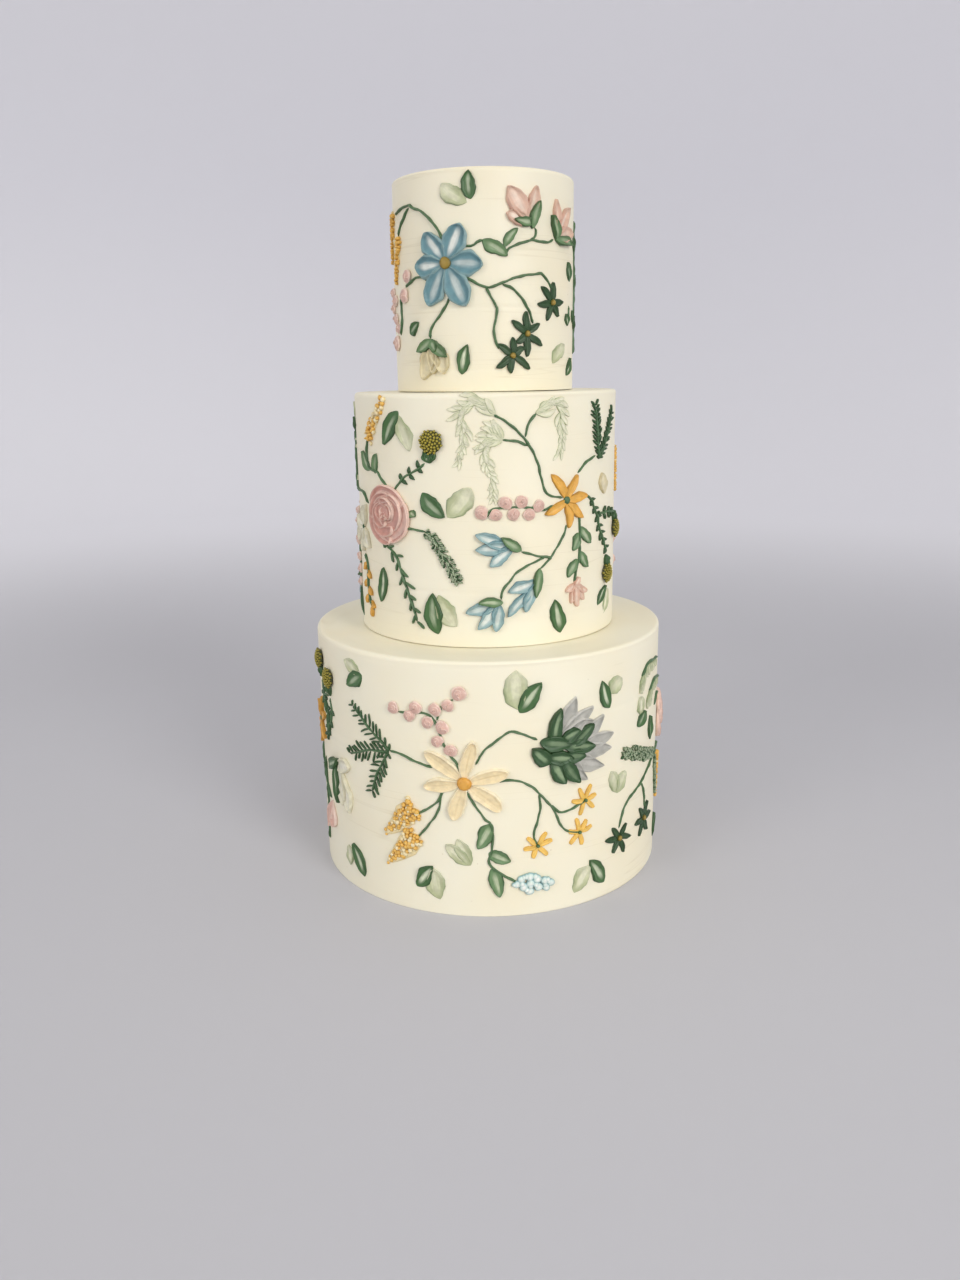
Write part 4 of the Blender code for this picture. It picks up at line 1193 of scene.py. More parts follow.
BLUE_SPRAY = Spray(
    blossoms=(
        Flower(
            "blue_flower", Tint.BLUE,
            (
                (-0.5, 0.5, -12.5, 16.2, 13), (-0.5, -0.5, -10.4, -22, 13), (-0.5, 0, -19.2, -0.6, 12.5),
                (0.5, 0, 20.8, -1.4, 13.5), (0, 0.5, 8.8, 19.8, 14), (0.5, -0.5, 11.4, -22.5, 14.5),
            ),
            centre=(0, 0, 3.25), slot="blue_icing",
        ),
        Flower(
            "pink_magnolia_a", Tint.BLUSH,
            ((46, 21, 51, 38.8, 7), (46, 21.5, 33.3, 24.6, 8.5), (46, 21, 34.3, 37.9, 11)),
            ((49, 20, 37.6, 21.6, 5.2), (48.4, 17, 52.4, 31.4, 5.5)), slot="blush_icing", blade=PLUMP,
        ),
        Flower(
            "pink_magnolia_b", Tint.BLUSH,
            ((67, 14, 65.5, 33.4, 6.5), (67, 14, 79.5, 30.5, 7), (66.5, 13.5, 82.5, 18, 9)),
            ((66.3, 12, 61.8, 24.9, 5), (65, 12.6, 81.3, 10.7, 5.5)), slot="blush_icing", blade=PLUMP,
        ),
        Flower(
            "cream_bud", Tint.WHITE,
            ((-9.5, -41, -16, -61, 10.5), (-9, -41, -2, -58, 10), (-9.5, -41, -8.5, -58, 8)),
            ((-8.5, -39.5, -19, -46, 6), (-10, -39.5, 0.5, -49, 6.2), (-9.4, -39.7, -6.4, -46.1, 5)),
            blade=PLUMP,
        ),
    ),
    decoration=(
        *stems(
            (
                (-1.8, 12.8), (-4.1, 16.5), (-7.5, 21.2), (-14.5, 26.7), (-21.9, 29.9), (-26.6, 31.7),
                (-42.2, 28.8),
            ),
            ((-25.5, 30.3), (-30.7, 25.6), (-35.5, 21.2), (-38.3, 17)),
            ((11.3, 8.1), (14.7, 8), (17.8, 10.1), (21.2, 11.1)),
            ((33.2, 3.6), (36, 7.6), (47.2, 10.9), (53.5, 11), (59.3, 10.9), (63.9, 12.5)),
            ((47.2, 10.9), (50.1, 12.8), (50.8, 16.1), (50.1, 17.7)),
            (
                (14, -8.9), (21.7, -12.9), (26.9, -12.3), (36.7, -8.5), (51.3, -5.7), (55.8, -6.1),
                (62.7, -13.3),
            ),
            ((31.3, -11.5), (35.7, -12.9), (40.3, -16.8), (46.6, -25), (49, -31.6)),
            ((21.9, -13.1), (27.2, -22.2), (28.3, -25.1), (26.4, -33.3), (26.2, -37.5), (28.8, -45)),
            ((-11.7, -9), (-14.5, -6.8), (-20.2, -6.1), (-24.5, -7.8), (-30.4, -10.7)),
            ((-33, -13), (-36.5, -17.6), (-36.6, -23.6), (-36.4, -30.5), (-38.9, -36)),
            ((2.2, -17.5), (-0.7, -22.4), (-8.1, -31.3), (-10.4, -35), (-10.5, -40.1)),
            ((95, 25.5), (93, 10.5), (97, -4.5), (96, -22), (97, -35.5), (95, -47.5)),
            ((80.8, -29), (82, -21.3)),
        ),
        *leaves(Tint.STEM_LEAF, BROAD, (20.3, 10.9, 34, 2.8, 7.5), (32.3, 7.5, 39.7, 17.2, 5)),
        *leaves(
            Tint.DEEP_LEAF, POINTED, (14.7, 31.4, 13.7, 45.8, 8.2), (-27.6, -35.7, -19.2, -29.6, 6.1),
            (8.3, -58.3, 11.7, -42.3, 7.7), (83.2, -8.3, 78.9, 2, 7.2), (80.9, -32.2, 77.1, -25.8, 5.5),
            (92, -30, 88, -23.5, 5.5), (78.8, -59.6, 84.3, -49.8, 5.5), (94.5, 8, 90, 16, 5),
            (96, -12, 100, -3, 5), (96.5, -34, 92.5, -26, 5),
        ),
        *leaves(Tint.SAGE_LEAF, FLAT, (12.5, 29.9, -1.5, 40.1, 10.2), (63.6, -52.9, 75.2, -42.4, 8.4)),
        Buds(
            (
                (-27.8, -5, 3.7), (-31.6, -15, 4.0), (-46, -17, 3.5), (-52, -12.5, 3.4), (-52, -20.5, 3.4),
                (-45.5, -27, 3.4), (-44.5, -40.5, 4.3), (-41, -32.5, 3.0),
            ),
        ),
        green_star(
            (63.1, -20.4), (54.4, -12.2), (63.3, -9.5), (72.6, -19.8), (67.9, -27.9), (58.6, -30.2),
            (51.9, -21.4),
        ),
        green_star(
            (45.3, -37.1), (36.1, -30), (44.3, -25.2), (53, -31.6), (54.9, -43.6), (45, -49.4),
            (38.3, -41.7),
        ),
        green_star(
            (36.6, -48.6), (27.9, -42.5), (36.5, -38.8), (43.6, -44.3), (46.5, -56.2), (35.6, -58.2),
            (27.2, -55.1),
        ),
        Mimosa((-46.7, 30.2, -52.6, 3.6, 4.5), 0.95, 0.5, 0.1),
        Mimosa((-36.9, 16, -43.5, -7.6, 4.5), 0.95, 0.5, 0.1),
    ),
)

ROSE_SPRAY = Spray(
    blossoms=(
        Rose("rose", (0, 0, 17)),
        Flower(
            "white_flower", Tint.PALE,
            (
                (-30.5, -10.5, -25.2, 3.6, 7), (-30, -10.5, -41.9, -4, 8), (-30, -10, -43, -18, 8),
                (-30.5, -9.5, -32, -25, 8), (-31, -10, -20.5, -21.5, 8),
            ),
            centre=(-30.6, -10, 1.5), centre_tint=Tint.NEEDLE, blade=PLUMP,
        ),
        Button("button", (31.8, 41.3, 7), (29, 30, 31, 38, 9)),
    ),
    decoration=(
        *stems(
            (
                (0, 15.6), (-5.9, 20.6), (-9.6, 23.6), (-16.1, 24.2), (-19.7, 27.2), (-20.8, 34.7),
                (-19.6, 41.3),
            ),
            (
                (-23.4, 5.5), (-29.6, 10.4), (-44, 10.8), (-51, 14), (-51.3, 29.4), (-51.2, 37.4),
                (-51.3, 45.2),
            ),
            ((14.1, -6.4), (20.6, -7.1), (26.2, -8)), ((-51.2, -5), (-51, -20), (-52, -35), (-51.2, -50)),
            ((-33, -24.7), (-26.1, -31.7), (-26.8, -42.2), (-25.7, -50.1), (-20, -59)),
        ),
        *leaves(
            Tint.STEM_LEAF, BROAD, (-17.4, 24.1, -27.3, 34.4, 6.5), (-11.7, 22.3, -9.4, 33.7, 5.5),
            (16.1, 2.8, 20.5, 0.4, 5),
        ),
        *leaves(
            Tint.DEEP_LEAF, POINTED, (-51.3, 43.5, -51.4, 53, 6.1), (-42.5, -66.7, -51.4, -50.4, 6.6),
            (-10.9, -52.1, -6.4, -31, 7.7), (10.6, 57.3, -1.2, 38.7, 9.4), (25.1, 13.8, 38.4, 0.6, 10.5),
            (32.9, -65.6, 30, -42.1, 11.6),
        ),
        *leaves(
            Tint.SAGE_LEAF, FLAT, (9.8, 55.7, 18, 35.9, 10.2), (39.7, 0.7, 53.3, 16.9, 13.2),
            (33.5, -43, 44.1, -60.5, 12), (-51.4, 51.9, -51.3, 61.7, 8.4),
        ),
        thorns(((6.4, 15), (9.5, 18.3), (14.5, 22.2), (21.2, 25.6), (28.5, 30.5)), 4.6, 2.6, 5.0, 58, 0.1),
        Fern(
            (
                (-5.4, -16.4), (1.4, -20.1), (6, -24), (8.7, -30.3), (11.3, -37.8), (14.6, -45.2),
                (17.1, -51.6), (19.1, -59.2),
            ),
            8.6, 1.6, 3.6, 36, 0.35, tint=Tint.STEM, staggered=True,
        ),
        Lavender(((26.2, -8), (30.3, -10.2), (33.7, -14.4), (39.6, -24.8), (45.5, -34.5)), 6.6, 130),
        Mimosa((-18.3, 41.3, -0.8, 63.8, 8), 1.25, 0.45, 0.4),
        Buds(
            (
                (-51.2, -8.6, 3.3), (-50, -20.4, 3.6), (-52, -31.1, 3.1), (-50, -38.4, 3.0),
                (-51.2, -46.7, 3.1),
            ),
        ),
        *leaves(
            Tint.GOLD, SLIM, (-27.5, -31, -31.5, -36, 3.6), (-26.5, -35.5, -21.5, -40, 3.6),
            (-27, -41, -31.5, -46, 3.6), (-26.5, -45.5, -20.5, -50, 3.8), (-26, -50, -29, -56, 3.6),
            (-23.5, -54, -17.5, -57, 3.8), (-22, -56.5, -21, -63, 3.8),
        ),
    ),
)

GOLD_SPRAY = Spray(
    blossoms=(
        gold_star(
            (0, 0), (0.5, -0.5, -10.3, 14.8, 5.6), (-0.5, -0.5, 7.7, 13.7, 5.2), (-0.5, 0, 15.3, 1.9, 5.6),
            (-0.5, 0.5, 12.5, -10.8, 5.6), (0, 0.5, 1.5, -15.7, 5.4), (0.5, 0, -14.3, -7, 5.2),
        ),
        tulip(
            "blue_tulip_a", (-28, -26.1, -39.2, -18.3, 6), (-32, -23.5, -53.3, -16.5, 7.5),
            (-32, -23.5, -45.6, -34.4, 7.5), (-32, -23.5, -53.4, -25, 8),
        ),
        tulip(
            "blue_tulip_b", (-38.4, -54.7, -52, -54.5, 5.5), (-41, -56, -59.3, -60.4, 7.5),
            (-41, -54.5, -42.6, -71.3, 7.5), (-41, -55, -52.5, -69.8, 7.5),
        ),
        tulip(
            "blue_tulip_c", (-17.3, -36.5, -20.2, -53.1, 5.5), (-18.5, -43, -35.7, -48.9, 7.5),
            (-21, -48, -35.8, -63, 6.5), (-18.5, -43, -25.9, -60.9, 7),
        ),
        Flower(
            "pink_fan", Tint.BLUSH,
            (
                (7, -48, -0.6, -51.5, 4), (6.5, -49.5, 10, -44.5, 4), (6.5, -48.5, 16, -53.2, 4.2),
                (7, -48, 3.4, -59.1, 4.4), (7, -48, 13, -58.3, 4.4), (7, -48, 7.9, -61.5, 4.4),
            ),
            slot="blush_icing", blade=ROUNDED,
        ),
        Button("button_a", (39, -46.5, 6), (41, -36, 39.5, -43, 8)),
        Button("button_b", (57, -22, 6), (56, -11.5, 57, -18, 8)),
    ),
    decoration=(
        *stems(
            (
                (-5.9, 2.3), (-12.1, 4), (-15, 8.3), (-16.7, 14.6), (-18.5, 21.9), (-26.1, 34.9),
                (-35.5, 43.1), (-42.6, 47.7),
            ),
            ((-25.4, 35.4), (-24.5, 40.4), (-21.8, 44.8), (-19, 47.4)),
            ((-24.2, 30.8), (-29.3, 33), (-37.9, 33.9)),
            ((8.4, 14.2), (12.2, 17.6), (16.3, 20.5), (24, 23)),
            ((9.5, -11.5), (10.4, -19.2), (9.8, -33.4), (7.6, -40.8), (6.2, -47.3)),
            ((-0.5, -15.4), (-2.5, -20.1), (-9.5, -30.2), (-12.6, -30.4), (-19.6, -29.3), (-28, -26.7)),
            ((-9.5, -30.2), (-13.7, -34.6), (-17.3, -37)),
            ((-13.8, -30.3), (-20.7, -33), (-30.8, -38.3), (-35.1, -43.5), (-38.4, -47.7), (-39.3, -53.1)),
            (
                (-11.4, -2.9), (-15, -4.4), (-21.8, -3), (-29.5, -1.9), (-38, -2.3), (-44.2, -3.2),
                (-48.5, -8.1),
            ),
        ),
        Plume(
            (
                (-41.6, 47.2), (-47.6, 54.2), (-54.8, 52.8), (-60.5, 48.4), (-59.1, 40.9), (-58.2, 32.9),
                (-61.5, 24),
            ),
            10.5, 3.9,
        ),
        Plume(((-19.6, 48), (-12.8, 53.1), (-5.6, 51.9), (-4.3, 44.8), (-2.9, 35.6), (-4.8, 27)), 9.5, 3.7),
        Plume(
            ((-38.2, 33.5), (-43.8, 35.3), (-48, 28.8), (-46.5, 21.7), (-43.5, 13.5), (-43.5, 4)), 9.5, 3.6,
        ),
        Fern(((27.9, 20.7), (26, 33), (23.3, 50)), 6.6, 1.2, 2.3, 44, 0.25),
        Fern(((29.1, 21.2), (37, 32), (45, 45)), 6.6, 1.2, 2.3, 44, 0.25),
        thorns(
            (
                (15.8, 1.3), (20.4, -1.8), (23.4, -6.5), (26.7, -11.2), (29.1, -18.2), (34.4, -25.6),
                (40.5, -36),
            ),
            4.4, 2.1, 5.2, 58,
        ),
        thorns(((27.8, -10.3), (39.7, -10.6), (54.5, -12)), 4.0, 2.0, 5.4, 60),
        *leaves(
            Tint.STEM_LEAF, BROAD, (10.7, -16, 19.4, -26.3, 6.5), (10.4, -19.2, 4.8, -28.9, 6.5),
            (10.9, -29.7, 17.2, -39.7, 6), (9.4, -34.4, 1.1, -43.8, 6.5),
        ),
        *leaves(Tint.DEEP_LEAF, POINTED, (-3.5, -75.2, -7.5, -55.3, 10), (28.7, -64.5, 39, -54, 6.5)),
        *leaves(Tint.SAGE_LEAF, FLAT, (36.8, -71.1, 43, -56.5, 7.8)),
        *leaves(Tint.WHITE, BROAD, (37.6, 0.8, 31.7, 12.8, 9.5)),
        Buds(
            (
                (-17.9, -2, 3.6), (-23.5, -6.2, 3.6), (-27.9, 0.8, 3.7), (-32.4, -5.8, 3.6),
                (-36.7, 0.4, 3.9), (-42, -6, 3.6), (-49.6, -4.5, 4.0),
            ),
        ),
    ),
)

DAISY_SPRAY = Spray(
    blossoms=(
        Flower(
            "daisy", Tint.DAISY,
            (
                (-0.5, 0.5, -22.7, 17, 9.5), (0, 0.5, 5.6, 25, 9), (0.5, 0, 24.8, 6.1, 8.5),
                (0.5, -0.5, 20.3, -16.5, 10), (0, -0.5, -6.4, -22.5, 10), (-0.5, 0, -23.6, -3.7, 8.5),
            ),
            centre=(0, 0, 4), centre_tint=Tint.ORANGE, blade=DAISY_PETAL,
        ),
        Flower(
            "thistle", Tint.LILAC,
            (
                (54, 25, 63.5, 46.5, 11), (54, 23, 75, 39, 10.5), (55, 24, 75.5, 31, 9.5),
                (64, 15, 83, 32.5, 10.5), (64, 12, 89, 12, 10), (64, 14, 90.3, 20.5, 11),
                (56, 11, 83.8, 1.7, 11), (58, 11, 71.5, -4, 9),
            ),
            (
                (50, 20, 54.4, 41, 8.5), (54, 22, 66, 27, 8), (61, 18, 74.5, 29.5, 7.5),
                (56, 18, 76.2, 16, 9), (57, 13, 69.5, 11.4, 8.5), (56, 10, 66, -4, 9),
                (49, 11, 57, -3.5, 9.5), (48, 9.5, 37.5, 19.5, 10), (42, 22.5, 60, 19.5, 9.5),
                (46, 13, 62, 11, 9.5),
            ),
            sepal_tint=Tint.THISTLE_LEAF, slot="lilac_icing", blade=BELL, over=0.6,
        ),
        Hyacinth(
            "grape_hyacinth",
            (
                (28.8, -61.5, 2.7), (31.2, -58.6, 2.9), (32.4, -63.2, 3.3), (36, -57.4, 3.2),
                (36.4, -61.4, 3.1), (36, -66.2, 3.1), (40.3, -59, 3.3), (41, -64, 3.3), (44.6, -60.8, 3.0),
                (45.6, -65.2, 2.9), (48.6, -62.6, 2.8),
            ),
        ),
    ),
    decoration=(
        *stems(
            ((-20.8, 8.8), (-30.8, 11), (-37.6, 13.5), (-44.8, 14.3)),
            (
                (-0.6, 4.2), (-4.4, 11.6), (-7, 14.9), (-10.9, 21.5), (-14, 29.5), (-15.9, 34.8),
                (-21.3, 39.1), (-38.2, 38.4),
            ),
            ((-15, 36), (-11.7, 43.9), (-5.6, 48.3)),
            ((7.7, 13.4), (11.4, 19.6), (17.9, 25), (25.7, 29.8), (32.8, 28), (42.9, 22.6)),
            (
                (20.2, 1.2), (26.8, 1.8), (33.4, -0.7), (40.8, -6.4), (50, -18.3), (54.4, -27.7),
                (58.1, -32.7), (66.5, -35.2),
            ),
            ((48.5, -15.5), (54.3, -20.5), (61.1, -20.3), (70.3, -16.7)),
            ((41.5, -7.9), (42.2, -15.8), (40.8, -24.2), (38.3, -32.5), (40.5, -38.5)),
            (
                (1.2, -4.8), (5.7, -13.2), (10.9, -20.9), (14.1, -23.7), (15.3, -30.9), (14.6, -41),
                (13.8, -49.7), (27.1, -59.3),
            ),
            ((-12.9, -6.5), (-15.8, -12.4), (-21.5, -16.7), (-26.7, -20.3), (-30, -22)),
            ((-13.2, -7.2), (-15.2, -16.6), (-20.4, -25.9), (-29, -36)),
        ),
        Fern(((-44.8, 14.3), (-57.4, 23.1), (-73, 35.3)), 9.6, 1.25, 3.2, 54, 0.6),
        Fern(((-45.6, 13.4), (-61, 10.9), (-78, 4.6)), 9.2, 1.25, 3.2, 54, 0.45),
        Fern(((-46.5, 12.6), (-54.1, -0.5), (-59.5, -13.4)), 8.8, 1.25, 3.2, 52, 0.5),
        Buds(
            (
                (-7.2, 19, 3.9), (-14.6, 24, 3.7), (-11.6, 32.2, 4.1), (-20.1, 34.6, 3.8), (-15.7, 42, 3.9),
                (-8.3, 45, 3.7), (-2, 51.9, 4.3), (-27, 42, 3.9), (-30.7, 37.2, 3.7), (-41.2, 40.4, 3.7),
            ),
        ),
        yellow_star(
            (70.5, -16.5), (74.6, -7.7), (78.1, -14.3), (76.5, -22.3), (66.9, -25.1), (61.5, -15.3),
            (66.4, -8.5),
        ),
        yellow_star(
            (66.7, -35.3), (64.5, -26.5), (71.5, -28.5), (75.2, -33), (68, -43.5), (60.5, -41.5),
            (59.5, -33),
        ),
        yellow_star(
            (40.8, -39), (46, -31.5), (49.5, -36.5), (46.5, -45.5), (38, -46.5), (32.5, -40.5),
            (34.5, -33.5),
        ),
        *leaves(
            Tint.STEM_LEAF, BROAD, (14.8, -23.8, 6.6, -39.1, 9), (12.8, -41.7, 25.4, -47.2, 8),
            (14.7, -51.1, 19, -69.3, 8.5),
        ),
        *leaves(
            Tint.DEEP_LEAF, POINTED, (-63.8, 55.2, -77, 46.8, 9.9), (30.7, 40.4, 43.1, 56.8, 10.5),
            (88, 35, 81.7, 52.2, 8.2), (-69.7, -71.6, -79.9, -53.1, 9.4), (-29.7, -66.3, -19.4, -51.9, 9.4),
            (85.8, -72.5, 74, -54.9, 9.9),
        ),
        *leaves(
            Tint.SAGE_LEAF, FLAT, (-65.2, 54.9, -80, 61.5, 8.4), (30.3, 42, 29.1, 64.5, 13.8),
            (87.8, 43.4, 97.7, 50.8, 11.4), (95.6, -18.8, 90, -4, 9), (95.6, -19.1, 103.2, -7.1, 9),
            (-84.9, -69.5, -85.7, -56.5, 8.4), (-15.6, -72.4, -19, -53.3, 12), (2.7, -49.6, -4.5, -33.5, 9),
            (2.7, -49.6, -11.5, -37.5, 9), (63.6, -73.2, 74.5, -58.5, 11.4),
        ),
        Mimosa((-28.8, -17.8, -50.6, -37.6, 14), 1.35), Mimosa((-28.6, -33.6, -49.7, -55.6, 14), 1.35),
    ),
)

RIGHT_SPRAY = Spray(
    blossoms=(Rose("rose", (17, 14, 16.5)),),
    decoration=(
        *stems(
            ((0, 0), (-24.7, -3.6), (-41.5, -11.4), (-56.2, -16.9), (-63.3, -23.5), (-66.5, -33)),
            ((-41.5, -12.1), (-37.3, -20.6), (-35, -31)), ((-43.9, 55.3), (-35.4, 61), (-15, 60)),
            ((-30.8, 43), (-21.6, 47.7), (-4, 45)), ((-18, 30), (-12, 35.5), (-2, 34)),
        ),
        green_star(
            (-66.2, -39.2), (-59.4, -31.7), (-55.1, -41.6), (-62.4, -49.7), (-72.4, -46.9), (-78.6, -37.4),
            (-72.9, -30.9),
        ),
        green_star(
            (-37, -36.8), (-44, -28.5), (-31, -27.5), (-24.5, -37), (-31, -47), (-44, -46.5), (-49.5, -37),
        ),
        Plume(((-44.5, 54), (-40, 58), (-33, 60), (-15, 59)), 7, 3.2, Tint.SAGE_LEAF, 1.7, 9, 1),
        Plume(((-31.4, 41.5), (-27, 45), (-20, 46.7), (-4, 44)), 7, 3.2, Tint.SAGE_LEAF, 1.7, 9, 1),
        Lavender(((-20, 0), (-34, 4), (-49.1, 9.2), (-63.4, 13.5)), 9, 190),
        Lavender(((-13.2, -4.7), (-10.4, -16.8), (-4, -31.4)), 7, 110),
        Mimosa((-1, -6, 2, -38, 4.5), 1.1, 0.5, 0.1),
        *leaves(
            Tint.DEEP_LEAF, POINTED, (-48.5, 25.6, -39.1, 33.1, 7.7), (-26.2, 10.4, -28.9, 26.7, 6.1),
            (-8, -62, -6, -46, 7.7),
        ),
        *leaves(Tint.SAGE_LEAF, FLAT, (-44.1, 31.3, -46.3, 42.5, 9.6), (-2, -74, -3, -54, 9.6)),
    ),
)

LEFT_SPRAY = Spray(
    blossoms=(
        gold_star(
            (-13, -1), (-13, -1, -7, 15, 6), (-13, -1, 1, 5, 6), (-13, -1, -1, -11, 6),
            (-13, -1, -14, -17, 6), (-13, -1, -26, -9, 6), (-13, -1, -25, 8, 6),
        ),
        Button("button_a", (-4, 40, 6.5), (-4, 28.5, -4, 36, 8)),
        Button("button_b", (13, 32, 6.5), (11.5, 20.5, 12.5, 28, 8)),
        Flower(
            "white_magnolia", Tint.PALE,
            ((21, -20, 32.5, -48, 12), (19, -21, 35, -18, 10), (21, -20, 26, -45, 9)),
            ((6, -26, 22, -17, 7.5), (17, -21, 21, -45, 7)), blade=PLUMP, sepal_tint=Tint.DEEP_LEAF,
        ),
        Flower(
            "pink_bud", Tint.BUD, ((6, -49, -4, -70, 10.5), (6, -49, 9, -66, 9)), slot="blush_icing",
            blade=PLUMP,
        ),
    ),
    decoration=(
        thorns(((-4, 27), (1, 18), (8, 10), (6, -2), (4, -6)), 4.2, 2.8, 5.2, 60),
        thorns(((12, 19), (14.5, 12), (12, 4), (8, -2)), 4.0, 2.8, 5.2, 60),
        *stems(
            ((-15, -20), (-12, -33), (4, -48)), ((-5, 12), (1, 18), (11, 20)),
            ((-6, -24), (-4, -50), (-7.3, -80)),
        ),
        *leaves(
            Tint.DEEP_LEAF, POINTED, (0, 16, 8, 8, 5.5), (8, 10, 10, -2, 5.5), (-12, -34, -4, -27, 5.5),
            (1, -80, -5, -68, 5.5),
        ),
    ),
)

# Where each spray goes: tier, name, layout, degrees from the front, height of its heart, scale, mirror.
PLACES: tuple[tuple[str, str, Spray, float, float, float, int], ...] = (
    ("top", "blue_spray", BLUE_SPRAY, -23.6, 67.5, 1.0, 1),
    ("top", "rose_spray", ROSE_SPRAY, 180.0, 57.0, 0.82, 1),
    ("middle", "rose_spray", ROSE_SPRAY, -45.7, 72.5, 1.0, 1),
    ("middle", "gold_spray", GOLD_SPRAY, 34.0, 80.5, 1.0, 1),
    ("middle", "blue_spray", BLUE_SPRAY, 128.0, 75.0, 1.0, 1),
    ("middle", "small_gold_spray", GOLD_SPRAY, 239.0, 72.0, 0.8, -1),
    ("bottom", "daisy_spray", DAISY_SPRAY, -8.0, 81.5, 1.0, 1),
    ("bottom", "right_spray", RIGHT_SPRAY, 80.0, 72.5, 1.0, 1),
    ("bottom", "gold_spray", GOLD_SPRAY, 152.0, 84.0, 1.0, 1),
    ("bottom", "rose_spray", ROSE_SPRAY, 232.0, 78.0, 1.0, -1),
    ("bottom", "left_spray", LEFT_SPRAY, -69.0, 95.0, 1.0, 1),
)


@dataclass(frozen=True)
class IcedTier:
    """One tier's coat of icing: a drum with a soft rim, a little uneven, and a ragged foot."""

    wall: Wall
    rim: float = 2.0
    around: int = 240
    wave: float = 0.18
    lines: int = 7

    def profile(self) -> tuple[Array, Array, Array]:
        """Returns the radius and height of each ring from the foot to the top, and where the side is."""
        radius, height = self.wall.radius, self.wall.height
        low = np.array([0.02, 0.4, 0.8, 0.97]) * (radius - 0.8)
        side = np.linspace(0.4, height - self.rim, 116)
        turn = np.linspace(0, math.pi / 2, 9)[1:]
        inward = np.linspace(1, 0.01, 40)[1:]
        reach = np.concatenate(
            [
                low,
                np.full(1, radius - 0.15),
                np.full(len(side), radius),
                radius - self.rim * (1 - np.cos(turn)),
                (radius - self.rim) * inward,
            ]
        )
        up = np.concatenate(
            [
                np.zeros(5),
                side,
                height - self.rim * (1 - np.sin(turn)),
                np.full(len(inward), height),
            ]
        )
        on_side = np.concatenate([np.zeros(5), np.ones(len(side)), np.zeros(len(turn) + len(inward))])
        return reach, up, on_side

    def build(self, seed: int) -> bpy.types.Object | None:
        """Turns the profile round the axis, with slow waves and a few level scraper lines on the side."""
        work = Relief(f"{self.wall.tier}_tier_icing", seed)
        draws = work.chances
        reach, up, on_side = self.profile()
        angle = math.tau * np.arange(self.around) / self.around
        phase = draws.random(6) * math.tau
        height = self.wall.height
        slow = np.sin(2 * angle[None, :] + phase[0] + up[:, None] / 37)
        slow = slow + 0.6 * np.sin(5 * angle[None, :] + phase[1] - up[:, None] / 23)
        swell = self.wave * slow * on_side[:, None]
        for _ in range(self.lines):
            at, middle, span = draws.random() * height, draws.random() * math.tau, 0.6 + draws.random()
            near = np.exp(-(((up[:, None] - at) / 0.7) ** 2))
            part = np.exp(-((np.angle(np.exp(1j * (angle - middle))) / span) ** 2))[None, :]
            swell = swell - 0.22 * near * part * on_side[:, None]
        foot = np.exp(-up / 1.2)[:, None] * on_side[:, None]
        swell = swell - foot * (0.08 + 0.12 * np.sin(17 * angle + phase[2]) * np.sin(7 * angle + phase[3]))
        out = reach[:, None] + swell
        top = (up > height - 0.01)[:, None] * (reach < self.wall.radius - self.rim)[:, None]
        dip = 0.1 * top * (1 + np.sin(reach[:, None] / 2.6 + 3 * angle[None, :] + phase[4]))
        rings = np.stack(
            [
                out * np.sin(angle) * MM,
                -out * np.cos(angle) * MM,
                (self.wall.foot + np.tile(up[:, None], (1, self.around)) - dip) * MM,
            ],
            axis=-1,
        )
        blank = np.zeros(out.shape)
        work.add(rings, SmoothedIcing(), blank, blank)
        return work.piece((f"{self.wall.tier}_tier",), "ivory_icing")


@dataclass
class DecoratedTier:
    """One tier with all its sprays."""

    wall: Wall
    seed: int

    def build(self) -> None:
        """Makes the icing, the blossoms and the decoration of this tier."""
        IcedTier(self.wall).build(self.seed)
        places = [
            (Placing(self.wall, degrees, height, scale, flip), name, spray)
            for tier, name, spray, degrees, height, scale, flip in PLACES
            if tier == self.wall.tier
        ]
        for placing, _, spray in places:
            for blossom in spray.blossoms:
                self.keep_clear(placing, blossom)
        for index, (placing, name, spray) in enumerate(places):
            for turn, blossom in enumerate(spray.blossoms):
                node = f"{self.wall.tier}_{name}_{blossom.name}"
                work = Relief(f"buttercream_{node}", self.seed + 100 * (index + 1) + turn)
                blossom.pipe(work, placing)
                work.piece((node,), blossom.slot)
        tier = self.wall.tier
        works = {group: Relief(f"{tier}_{group.value}", self.seed + i) for i, group in enumerate(Group)}
        for placing, _, spray in places:
            for item in spray.decoration:
                item.pipe(works, placing)
        for work in works.values():
            work.piece((f"{tier}_tier",))

    def keep_clear(self, placing: Placing, blossom: Blossom) -> None:
        """Notes where a blossom's strokes lie, as lines with half their width round them."""
        for x0, y0, x1, y1, width in blossom.reaches():
            (ax, ay), (bx, by) = placing.spots(np.array([(x0, y0), (x1, y1)], float))
            self.wall.blossoms.append((ax, ay, bx, by, width * placing.scale / 2))


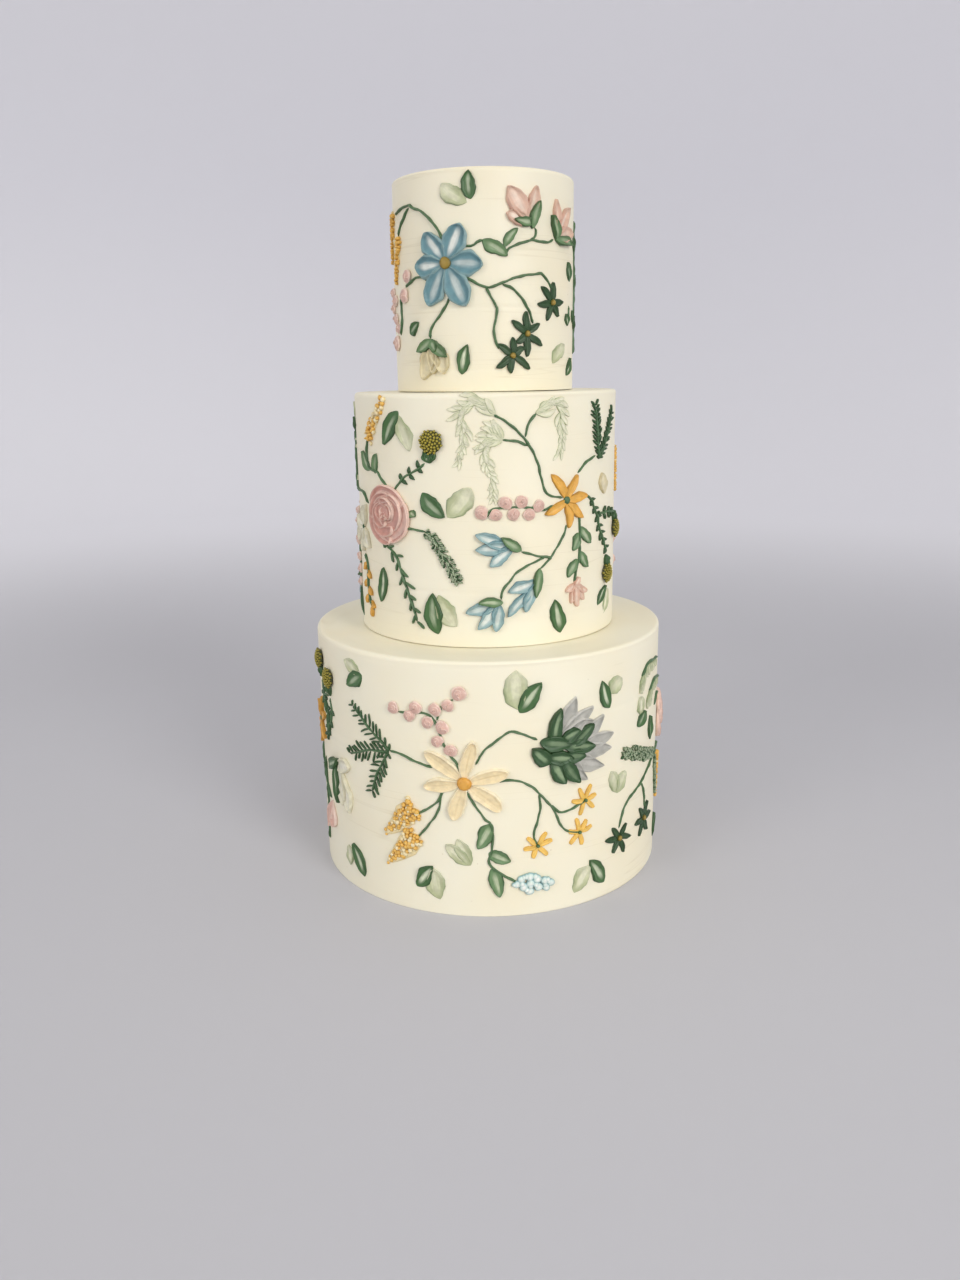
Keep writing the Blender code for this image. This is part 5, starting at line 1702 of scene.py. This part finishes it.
@dataclass(frozen=True)
class Studio:
    """A plain pale floor, soft studio lights, and the camera at the photograph's angle."""

    # Solved from the tiers' edges, in a frame of 960 by 1280: millimetres, degrees and pixels.
    eye: tuple[float, float, float] = (-5.2, -636.5, 300.8)
    pitch: float = 14.55
    roll: float = -0.82
    focal_pixels: float = 1029.6
    frame_height: float = 1280.0
    sensor: float = 36.0
    # A round floor that curves up into a low wall, in metres.
    floor_radius: float = 1.7
    curve: float = 0.8
    wall: float = 1.9
    # Painted light and shade: the floor is painted darker near the cake and the wall lighter, up where the
    # lamps reach less.
    floor_colour: str = "C4C4CA"
    wall_colour: str = "F6F6FC"
    sky_colour: str = "E0DEDB"
    sky_strength: float = 0.99
    # How wide the lamps' beams are, in degrees.
    beam: float = 50.0

    def camera(self) -> None:
        """Sets the camera: it looks along +Y, down by the pitch, and is turned by the roll."""
        data = bpy.data.cameras.new("camera")
        data.sensor_width = self.sensor
        data.lens = self.sensor * self.focal_pixels / self.frame_height
        data.clip_start, data.clip_end = 0.02, 40.0
        made = bpy.data.objects.new("camera", data)
        pitch, roll = math.radians(self.pitch), math.radians(self.roll)
        ahead = np.array([0, math.cos(pitch), -math.sin(pitch)])
        up = np.array([0, math.sin(pitch), math.cos(pitch)])
        right = np.array([1.0, 0, 0])
        turned_right = math.cos(roll) * right + math.sin(roll) * up
        turned_up = -math.sin(roll) * right + math.cos(roll) * up
        matrix = np.eye(4)
        matrix[:3, 0], matrix[:3, 1], matrix[:3, 2] = turned_right, turned_up, -ahead
        matrix[:3, 3] = np.array(self.eye) * MM
        made.matrix_world = Matrix(matrix.tolist())
        bpy.context.scene.collection.objects.link(made)
        bpy.context.scene.camera = made

    def lamp(self, name: str, place: Point, height: float, size: float, power: float, tone: str) -> None:
        """Adds one soft square lamp, whose narrow beam is on the cake's foot."""
        data = bpy.data.lights.new(name, "AREA")
        data.size = size
        data.spread = math.radians(self.beam)
        data.energy = power
        data.color = linear(tone)[:3]
        made = bpy.data.objects.new(name, data)
        spot = np.array([place[0], place[1], height])
        away = spot / np.linalg.norm(spot)
        right = np.cross([0, 0, 1], away)
        right /= np.linalg.norm(right)
        matrix = np.eye(4)
        matrix[:3, 0], matrix[:3, 1], matrix[:3, 2] = right, np.cross(away, right), away
        matrix[:3, 3] = spot
        made.matrix_world = Matrix(matrix.tolist())
        bpy.context.scene.collection.objects.link(made)

    def build(self) -> None:
        """Makes the floor, the sky, the lamps and the camera."""
        bend = np.linspace(0, math.pi / 2, 17)
        edge = self.floor_radius + self.curve
        reach = np.concatenate([[0.001, 0.6, 1.2], self.floor_radius + self.curve * np.sin(bend), [edge]])
        up = np.concatenate([np.zeros(3), self.curve * (1 - np.cos(bend)), [self.wall]])
        turn = math.tau * np.arange(96) / 96
        rings = np.stack(
            [
                reach[:, None] * np.cos(turn),
                reach[:, None] * np.sin(turn),
                np.tile(up[:, None], (1, 96)),
            ],
            axis=-1,
        )
        quads, _ = loft_faces(len(reach), 96)
        mesh = bpy.data.meshes.new("floor")
        mesh.from_pydata(rings.reshape(-1, 3).tolist(), [], [*quads.tolist(), list(range(96))])
        mesh.shade_smooth()
        paint = Shading("matt_painted_floor")
        length = add_node(paint.tree, "ShaderNodeVectorMath", {0: paint.place}, operation="LENGTH")
        away = length.outputs["Value"]
        # The paint lightens from half a metre to 1.7 m from the cake: painted shade on the floor round the
        # cake and painted light up the wall.
        tone = paint.mix(paint.ramp(away, 0.5, 1.7), linear(self.floor_colour), linear(self.wall_colour))
        paint.tree.links.new(tone, paint.shader.inputs["Base Color"])
        paint.shader.inputs["Roughness"].default_value = 0.85
        mesh.materials.append(paint.material)
        floor = bpy.data.objects.new("floor", mesh)
        bpy.context.scene.collection.objects.link(floor)
        world = bpy.data.worlds.new("studio")
        world.use_nodes = True
        sky = world.node_tree.nodes["Background"]
        sky.inputs["Color"].default_value = linear(self.sky_colour)
        sky.inputs["Strength"].default_value = self.sky_strength
        bpy.context.scene.world = world
        self.lamp("window_right", (1.2, -1.75), 0.85, 0.9, 2.25, "FFFDF8")
        self.lamp("window_left", (-1.6, -1.5), 0.85, 0.9, 1.05, "FFFCF6")
        self.camera()
        bpy.context.scene.view_settings.view_transform = "Standard"


def walls() -> list[Wall]:
    """Returns the tiers' sides, with their feet and heights read from the frame."""
    made = []
    for tier in TIERS:
        low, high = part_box(f"{tier}_tier")
        made.append(Wall(tier, TIER_RADII[tier], low.z / MM, (high.z - low.z) / MM))
    return made


def main() -> None:
    """Builds the tiers from the bottom up, then the studio."""
    logging.basicConfig(level=logging.INFO, format="%(name)s %(message)s")
    for index, wall in enumerate(walls()):
        DecoratedTier(wall, SEED + 1000 * index).build()
    Studio().build()


if __name__ == "__main__":
    main()
